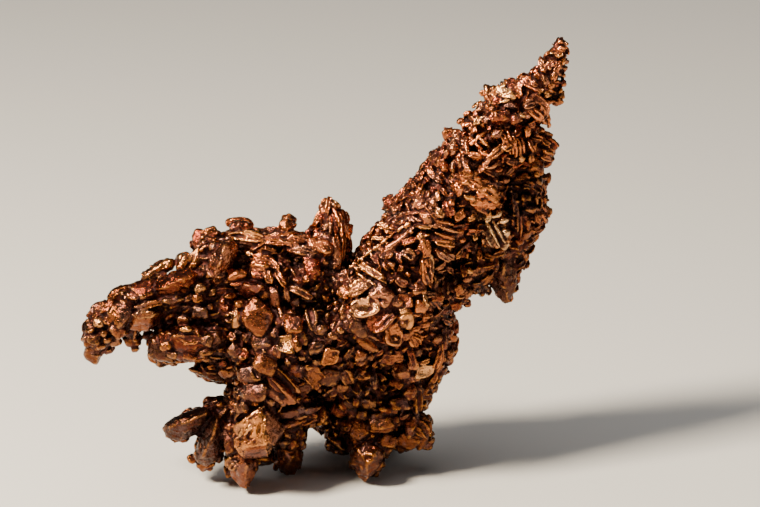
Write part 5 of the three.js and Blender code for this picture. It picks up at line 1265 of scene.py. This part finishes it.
def value_noise(X, size, seed):
    G = np.floor(X / size).astype(np.int64); f = X / size - G
    f = f * f * (3 - 2 * f)
    out = 0
    for a in (0, 1):
        for b in (0, 1):
            for c in (0, 1):
                w = (f[:, 0] if a else 1 - f[:, 0]) * (f[:, 1] if b else 1 - f[:, 1]) * (f[:, 2] if c else 1 - f[:, 2])
                out = out + w * (hashed(G + np.array([a, b, c]), seed) & 4095) / 4095.0
    return out * 2 - 1


# ------------------------------------------------------------------ meshes
def mesh_from(name, V, Q):
    me = bpy.data.meshes.new(name)
    me.vertices.add(len(V))
    me.vertices.foreach_set("co", np.ascontiguousarray(V, np.float32).ravel())
    me.loops.add(Q.size)
    me.loops.foreach_set("vertex_index", np.ascontiguousarray(Q, np.int32).ravel())
    me.polygons.add(len(Q))
    me.polygons.foreach_set("loop_start", np.arange(0, Q.size, Q.shape[1], dtype=np.int32))
    me.update(calc_edges=True)
    return me


def modified(me, kind, **kw):
    ob = bpy.data.objects.new("work", me)
    bpy.context.scene.collection.objects.link(ob)
    md = ob.modifiers.new("m", kind)
    for k, v in kw.items():
        setattr(md, k, v)
    out = bpy.data.meshes.new_from_object(ob.evaluated_get(bpy.context.evaluated_depsgraph_get()))
    bpy.data.objects.remove(ob)
    bpy.data.meshes.remove(me)
    return out


def points_of(me):
    V = np.empty(len(me.vertices) * 3, np.float32); me.vertices.foreach_get("co", V)
    N_ = np.empty(len(me.vertices) * 3, np.float32); me.vertices.foreach_get("normal", N_)
    return V.reshape(-1, 3).astype(float), N_.reshape(-1, 3).astype(float)


def edges_of(me):
    E = np.empty(len(me.edges) * 2, np.int32); me.edges.foreach_get("vertices", E)
    return E.reshape(-1, 2)


def smooth(A, E, n, k):
    deg = np.bincount(E.ravel(), minlength=len(A)).astype(float)[:, None]
    for _ in range(k):
        S = np.stack([np.bincount(E[:, 0], A[E[:, 1], j], len(A)) + np.bincount(E[:, 1], A[E[:, 0], j], len(A))
                      for j in range(A.shape[1])], 1)
        A = A * (1 - n) + S / np.maximum(deg, 1) * n
    return A


VOXEL = {"long_arm": 0.22, "arm_tip": 0.21, "ridge_and_peak": 0.22, "back_crystals_left": 0.36, "back_crystals_right": 0.36, "back_crystals_arm": 0.34}
KEEP = {"back_crystals_left": 90000, "back_crystals_right": 70000, "back_crystals_arm": 60000,
        "long_arm": 165000, "arm_tip": 72000, "left_arm": 96000, "middle_left": 66000, "middle_right": 90000,
        "ridge_and_peak": 76000, "right_lobe": 80000, "spread_crystals": 84000}


def attribute(me, name, A):
    if A.ndim == 1:
        me.attributes.new(name, "FLOAT", "POINT").data.foreach_set("value", A.astype(np.float32))
    else:
        me.attributes.new(name, "FLOAT_COLOR", "POINT").data.foreach_set(
            "color", np.concatenate([np.clip(A, 0, 1), np.ones((len(A), 1))], 1).astype(np.float32).ravel())


SKINS = {}
clock = [time.time()]
for name, parts in sorted(PIECES.items()):
    V = np.concatenate([p[0] for p in parts])
    off = np.cumsum([0] + [len(p[0]) for p in parts[:-1]])
    T_ = np.concatenate([p[1] + o for p, o in zip(parts, off)])
    row = np.concatenate([np.repeat(np.append(p[2], [p[3], p[4], i])[None], len(p[0]), 0) for i, p in enumerate(parts)])
    vox = VOXEL.get(name, 0.24)
    me = modified(mesh_from("soup", V, T_), "REMESH", mode="VOXEL", voxel_size=vox, adaptivity=0)
    n_skin = len(me.polygons) * 2
    P_, N_ = points_of(me)
    E = edges_of(me)
    # nearest crystal gives the tone
    tree = KDTree(len(V))
    for i, q in enumerate(V.tolist()):
        tree.insert(q, i)
    tree.balance()
    T = row[np.array([tree.find(q)[1] for q in P_.tolist()])]
    # colour scaled by place: tarnish together with painted shade and painted light
    T[:, :3] *= tarnish_and_painted_light(P_)[:, None]
    T[:, :3] /= np.maximum(T[:, :3].max(1) / 0.92, 1)[:, None]
    # slots and holes that open to the front: cut in, and their colour darkened as painted shade
    hole = np.where(N_ @ OUT > 0.0, open_slots(P_), 0)
    T[:, :3] *= (1 - 0.75 * hole)[:, None]
    # seams where two crystals meet
    seam = np.zeros((len(P_), 1))
    seam[E[T[E[:, 0], 5] != T[E[:, 1], 5]].ravel()] = 1
    seam = smooth(seam, E, 0.5, 2 if vox < 0.35 else 1)[:, 0]
    # broken, stepped faces: each cell of a cell pattern leans its own way
    G = smooth(T[:, 4:5], E, 0.5, 3)[:, 0]
    d1, g1, o1, r1 = cells(P_ + 0.5 * value_noise(P_, 2.2, 3)[:, None], 1.7, 11)
    d2, g2, o2, r2 = cells(P_ + 0.25 * value_noise(P_, 1.1, 5)[:, None], 0.95, 23)
    lean = ((o1 * (r1 - 0.5)).sum(1)) * 0.34 + (r1[:, 0] - 0.5) * 0.12
    lean2 = ((o2 * (r2 - 0.5)).sum(1)) * 0.42 + (r2[:, 1] - 0.5) * 0.08
    pits = -0.22 * np.clip(value_noise(P_, 1.5, 31) - 0.45, 0, 1)
    warp = 0.6 * np.stack([value_noise(P_, 1.3, 61 + j) for j in range(3)], 1)
    crease = np.clip(1 - np.abs(value_noise(P_ * np.array([1, 1, 0.8]) + warp, 1.9, 91)) / 0.12, 0, 1)
    disp = -0.55 * hole - 0.15 * crease * np.clip(1.25 - G, 0.35, 1) + (lean * (0.12 + 0.75 * G) + lean2 * 0.8 * G + pits * (0.5 + G) + 0.04 * value_noise(P_, 0.55, 47) * (0.3 + G)) * 0.85 - 0.30 * seam
    P2 = P_ + N_ * disp[:, None]
    P2[:, 2] = np.maximum(P2[:, 2], 0.02 + 0.03 * value_noise(P_, 0.9, 71) ** 2)
    me.vertices.foreach_set("co", P2.astype(np.float32).ravel())
    me.update()
    P2, N2 = points_of(me)
    # convex edges and hollows
    S1 = smooth(P2, E, 0.5, 3)
    S2 = smooth(S1, E, 0.5, 9)
    c1 = ((P2 - S1) * N2).sum(1) / vox
    c2 = ((P2 - S2) * N2).sum(1) / vox
    bend = smooth((0.55 * c1 + 0.45 * c2)[:, None], E, 0.5, 1)[:, 0]
    attribute(me, "bend", bend)
    attribute(me, "seam", seam)
    attribute(me, "polish", T[:, 3])
    attribute(me, "tint", smooth(T[:, :3], E, 0.5, 1))
    if n_skin > KEEP[name]:
        me = modified(me, "DECIMATE", ratio=KEEP[name] / n_skin)
    SKINS[name] = me
    clock.append(time.time())
    print("%.1f s" % (clock[-1] - clock[-2]), name, len(parts), "parts", len(T_), "soup", n_skin, "skin; bend", np.percentile(bend, [5, 50, 95]).round(2))

# crystals that touch nothing else are left out
names = list(SKINS)
pts, lab, at = [], [], 0
for name in names:
    P_, _n = points_of(SKINS[name])
    E = edges_of(SKINS[name])
    L_ = np.arange(len(P_))
    while True:
        new = L_.copy()
        np.minimum.at(new, E[:, 0], L_[E[:, 1]])
        np.minimum.at(new, E[:, 1], L_[E[:, 0]])
        new = new[new]
        if (new == L_).all():
            break
        L_ = new
    pts.append(P_); lab.append(L_ + at)
    at += len(P_)
pts, lab = np.concatenate(pts), np.concatenate(lab)
kinds, counts = np.unique(lab, return_counts=True)
tree = KDTree(len(pts))
for i, q in enumerate(pts.tolist()):
    tree.insert(q, i)
tree.balance()
joined = {int(k): int(k) for k in kinds}


def top(k):
    while joined[k] != k:
        k = joined[k]
    return k


big = set(kinds[counts > 4000].tolist())
for k in kinds.tolist():
    ids = np.flatnonzero(lab == k) if k not in big else rng.permutation(np.flatnonzero(lab == k))[:1500]
    for i in ids[:: max(1, len(ids) // 1500)].tolist():
        for _q, j, dist in tree.find_range(pts[i].tolist(), 0.22):
            a_, b_ = top(int(lab[i])), top(int(lab[j]))
            if a_ != b_:
                joined[a_] = b_
main = top(int(kinds[counts.argmax()]))
at, lost = 0, 0
for name in names:
    me = SKINS[name]
    L_ = lab[at:at + len(me.vertices)]
    at += len(me.vertices)
    drop = np.array([top(int(k)) != main for k in np.unique(L_)])
    if drop.any():
        bad = set(np.unique(L_)[drop].tolist())
        bm = bmesh.new()
        bm.from_mesh(me)
        bm.verts.ensure_lookup_table()
        gone = [q for q in bm.verts if int(L_[q.index]) in bad]
        lost += len(gone)
        bmesh.ops.delete(bm, geom=gone, context="VERTS")
        bm.to_mesh(me)
        bm.free()
        print(name, "left out", len(bad), "islands", len(gone), "points")
clock.append(time.time())
print("islands %.1f s" % (clock[-1] - clock[-2]), len(kinds), "lost points", lost)

# how shut in each point is: rays against a coarse skin of everything; the material darkens shut-in points as painted
# shade, together with oxide
allV, allF, at = [], [], 0
for me in SKINS.values():
    P_, _n = points_of(me)
    F_ = np.empty(len(me.loops), np.int32); me.loops.foreach_get("vertex_index", F_)
    st = np.empty(len(me.polygons), np.int32); me.polygons.foreach_get("loop_start", st)
    ct = np.empty(len(me.polygons), np.int32); me.polygons.foreach_get("loop_total", ct)
    tri = np.stack([F_[st], F_[st + 1], F_[st + 2]], 1)
    quad = ct == 4
    extra = np.stack([F_[st[quad]], F_[st[quad] + 2], F_[st[quad] + 3]], 1)
    allV.append(P_); allF.append(np.concatenate([tri, extra]) + at)
    at += len(P_)
bvh = BVHTree.FromPolygons(np.concatenate(allV).tolist(), np.concatenate(allF).tolist(), all_triangles=True)
RAYS = 9
FAR = 7.0
base = spread(RAYS * 2)
base = base[base[:, 2] > 0.12]
total = 0
for name, me in SKINS.items():
    P2, N2 = points_of(me)
    ref = np.where(np.abs(N2[:, 2:3]) < 0.9, np.array([[0, 0, 1.0]]), np.array([[1.0, 0, 0]]))
    A = unit_rows(np.cross(ref, N2)); B = np.cross(N2, A)
    th = rng.uniform(0, 6.28, len(P2)); ct, sn = np.cos(th)[:, None], np.sin(th)[:, None]
    A, B = A * ct + B * sn, B * ct - A * sn
    start = (P2 + N2 * 0.12).tolist()
    acc = np.zeros(len(P2)); wsum = 0.0
    for x, y, z in base:
        D = (A * x + B * y + N2 * z).tolist()
        hit = np.array([bvh.ray_cast(p, d, FAR)[3] or FAR for p, d in zip(start, D)])
        acc += z * (hit / FAR) ** 0.6
        wsum += z
    E = edges_of(me)
    open_ = smooth((acc / wsum)[:, None], E, 0.5, 1)[:, 0]
    attribute(me, "crevice_shade", 1 - open_)
    me.name = name
    me.transform(Matrix.Scale(MM, 4))
    me.polygons.foreach_set("use_smooth", np.ones(len(me.polygons), bool))
    me.materials.clear()
    me.materials.append(COPPER_MAT)
    n_tri = sum(len(q.vertices) - 2 for q in me.polygons)
    ob = bpy.data.objects.new(name, me)
    bpy.context.scene.collection.objects.link(ob)
    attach(ob, "root")
    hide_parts("native_copper")
    print(name, n_tri, "triangles; crevice", np.percentile(1 - open_, [5, 25, 50, 75, 95]).round(2))
    total += n_tri
clock.append(time.time())
print("total", total, "rays %.1f s" % (clock[-1] - clock[-2]))


# ------------------------------------------------------------------ floor, light, camera
def stage_material(name, col, rough):
    m = bpy.data.materials.new(name)
    m.use_nodes = True
    b = m.node_tree.nodes["Principled BSDF"]
    b.inputs["Base Color"].default_value = (*col, 1)
    b.inputs["Roughness"].default_value = rough
    return m


# wide round floor
pts, faces = [(0.0, 0.0, 0.0)], []
for k in range(96):
    th = 2 * math.pi * k / 96
    pts.append((4.0 * math.cos(th), 4.0 * math.sin(th), 0.0))
for k in range(96):
    faces.append((0, k + 1, (k + 1) % 96 + 1))
me = bpy.data.meshes.new("floor")
me.from_pydata(pts, [], faces)
me.update()
floor = bpy.data.objects.new("floor", me)
floor.data.materials.append(stage_material("floor_paper", (0.70, 0.69, 0.67), 0.9))
bpy.context.scene.collection.objects.link(floor)


def lamp(name, loc, target, size, power, col=(1, 1, 1), size_y=None):
    li = bpy.data.lights.new(name, "AREA")
    li.shape = "RECTANGLE"
    li.size = size
    li.size_y = size_y or size
    li.energy = power
    li.color = col
    ob = bpy.data.objects.new(name, li)
    ob.location = loc
    ob.rotation_euler = (Vector(target) - Vector(loc)).to_track_quat("-Z", "Y").to_euler()
    bpy.context.scene.collection.objects.link(ob)
    return ob


aim = (0.0, 0.0, 0.045)
lamp("key", (-0.42, -0.30, 0.54), aim, 0.16, 18.5, (1.0, 0.86, 0.66))
lamp("fill", (0.55, -0.45, 0.22), aim, 0.30, 0.5, (1.0, 0.95, 0.90))
sky = bpy.data.lights.new("sky", "SUN")
sky.energy = 1.1
sky.angle = math.radians(70)
sky.color = (1.0, 0.97, 0.93)
sky_ob = bpy.data.objects.new("sky", sky)
sky_ob.location = (-0.3, -0.1, 1.0)
sky_ob.rotation_euler = Vector((0.34, 0.10, -1.0)).to_track_quat("-Z", "Y").to_euler()
bpy.context.scene.collection.objects.link(sky_ob)

# dim room for the reflections, pale backdrop behind the floor
w = bpy.data.worlds.new("studio")
bpy.context.scene.world = w
w.use_nodes = True
nt = w.node_tree
bg = nt.nodes["Background"]
bg.inputs[0].default_value = (1, 1, 1, 1)
bg.inputs[1].default_value = 0.035
pale = nt.nodes.new("ShaderNodeBackground")
pale.inputs[0].default_value = (0.80, 0.79, 0.77, 1)
pale.inputs[1].default_value = 0.32
path = nt.nodes.new("ShaderNodeLightPath")
both = nt.nodes.new("ShaderNodeMixShader")
nt.links.new(path.outputs["Is Camera Ray"], both.inputs[0])
nt.links.new(bg.outputs[0], both.inputs[1])
nt.links.new(pale.outputs[0], both.inputs[2])
nt.links.new(both.outputs[0], nt.nodes["World Output"].inputs[0])

cam_data = bpy.data.cameras.new("camera")
cam_data.sensor_width = 36.0
cam_data.lens = FOCAL * 36.0 / 760.0
cam_data.clip_start = 0.01
cam_data.clip_end = 20
cam = bpy.data.objects.new("camera", cam_data)
cam.location = EYE * MM
cam.rotation_euler = Vector(-OUT).to_track_quat("-Z", "Y").to_euler()
bpy.context.scene.collection.objects.link(cam)
bpy.context.scene.camera = cam
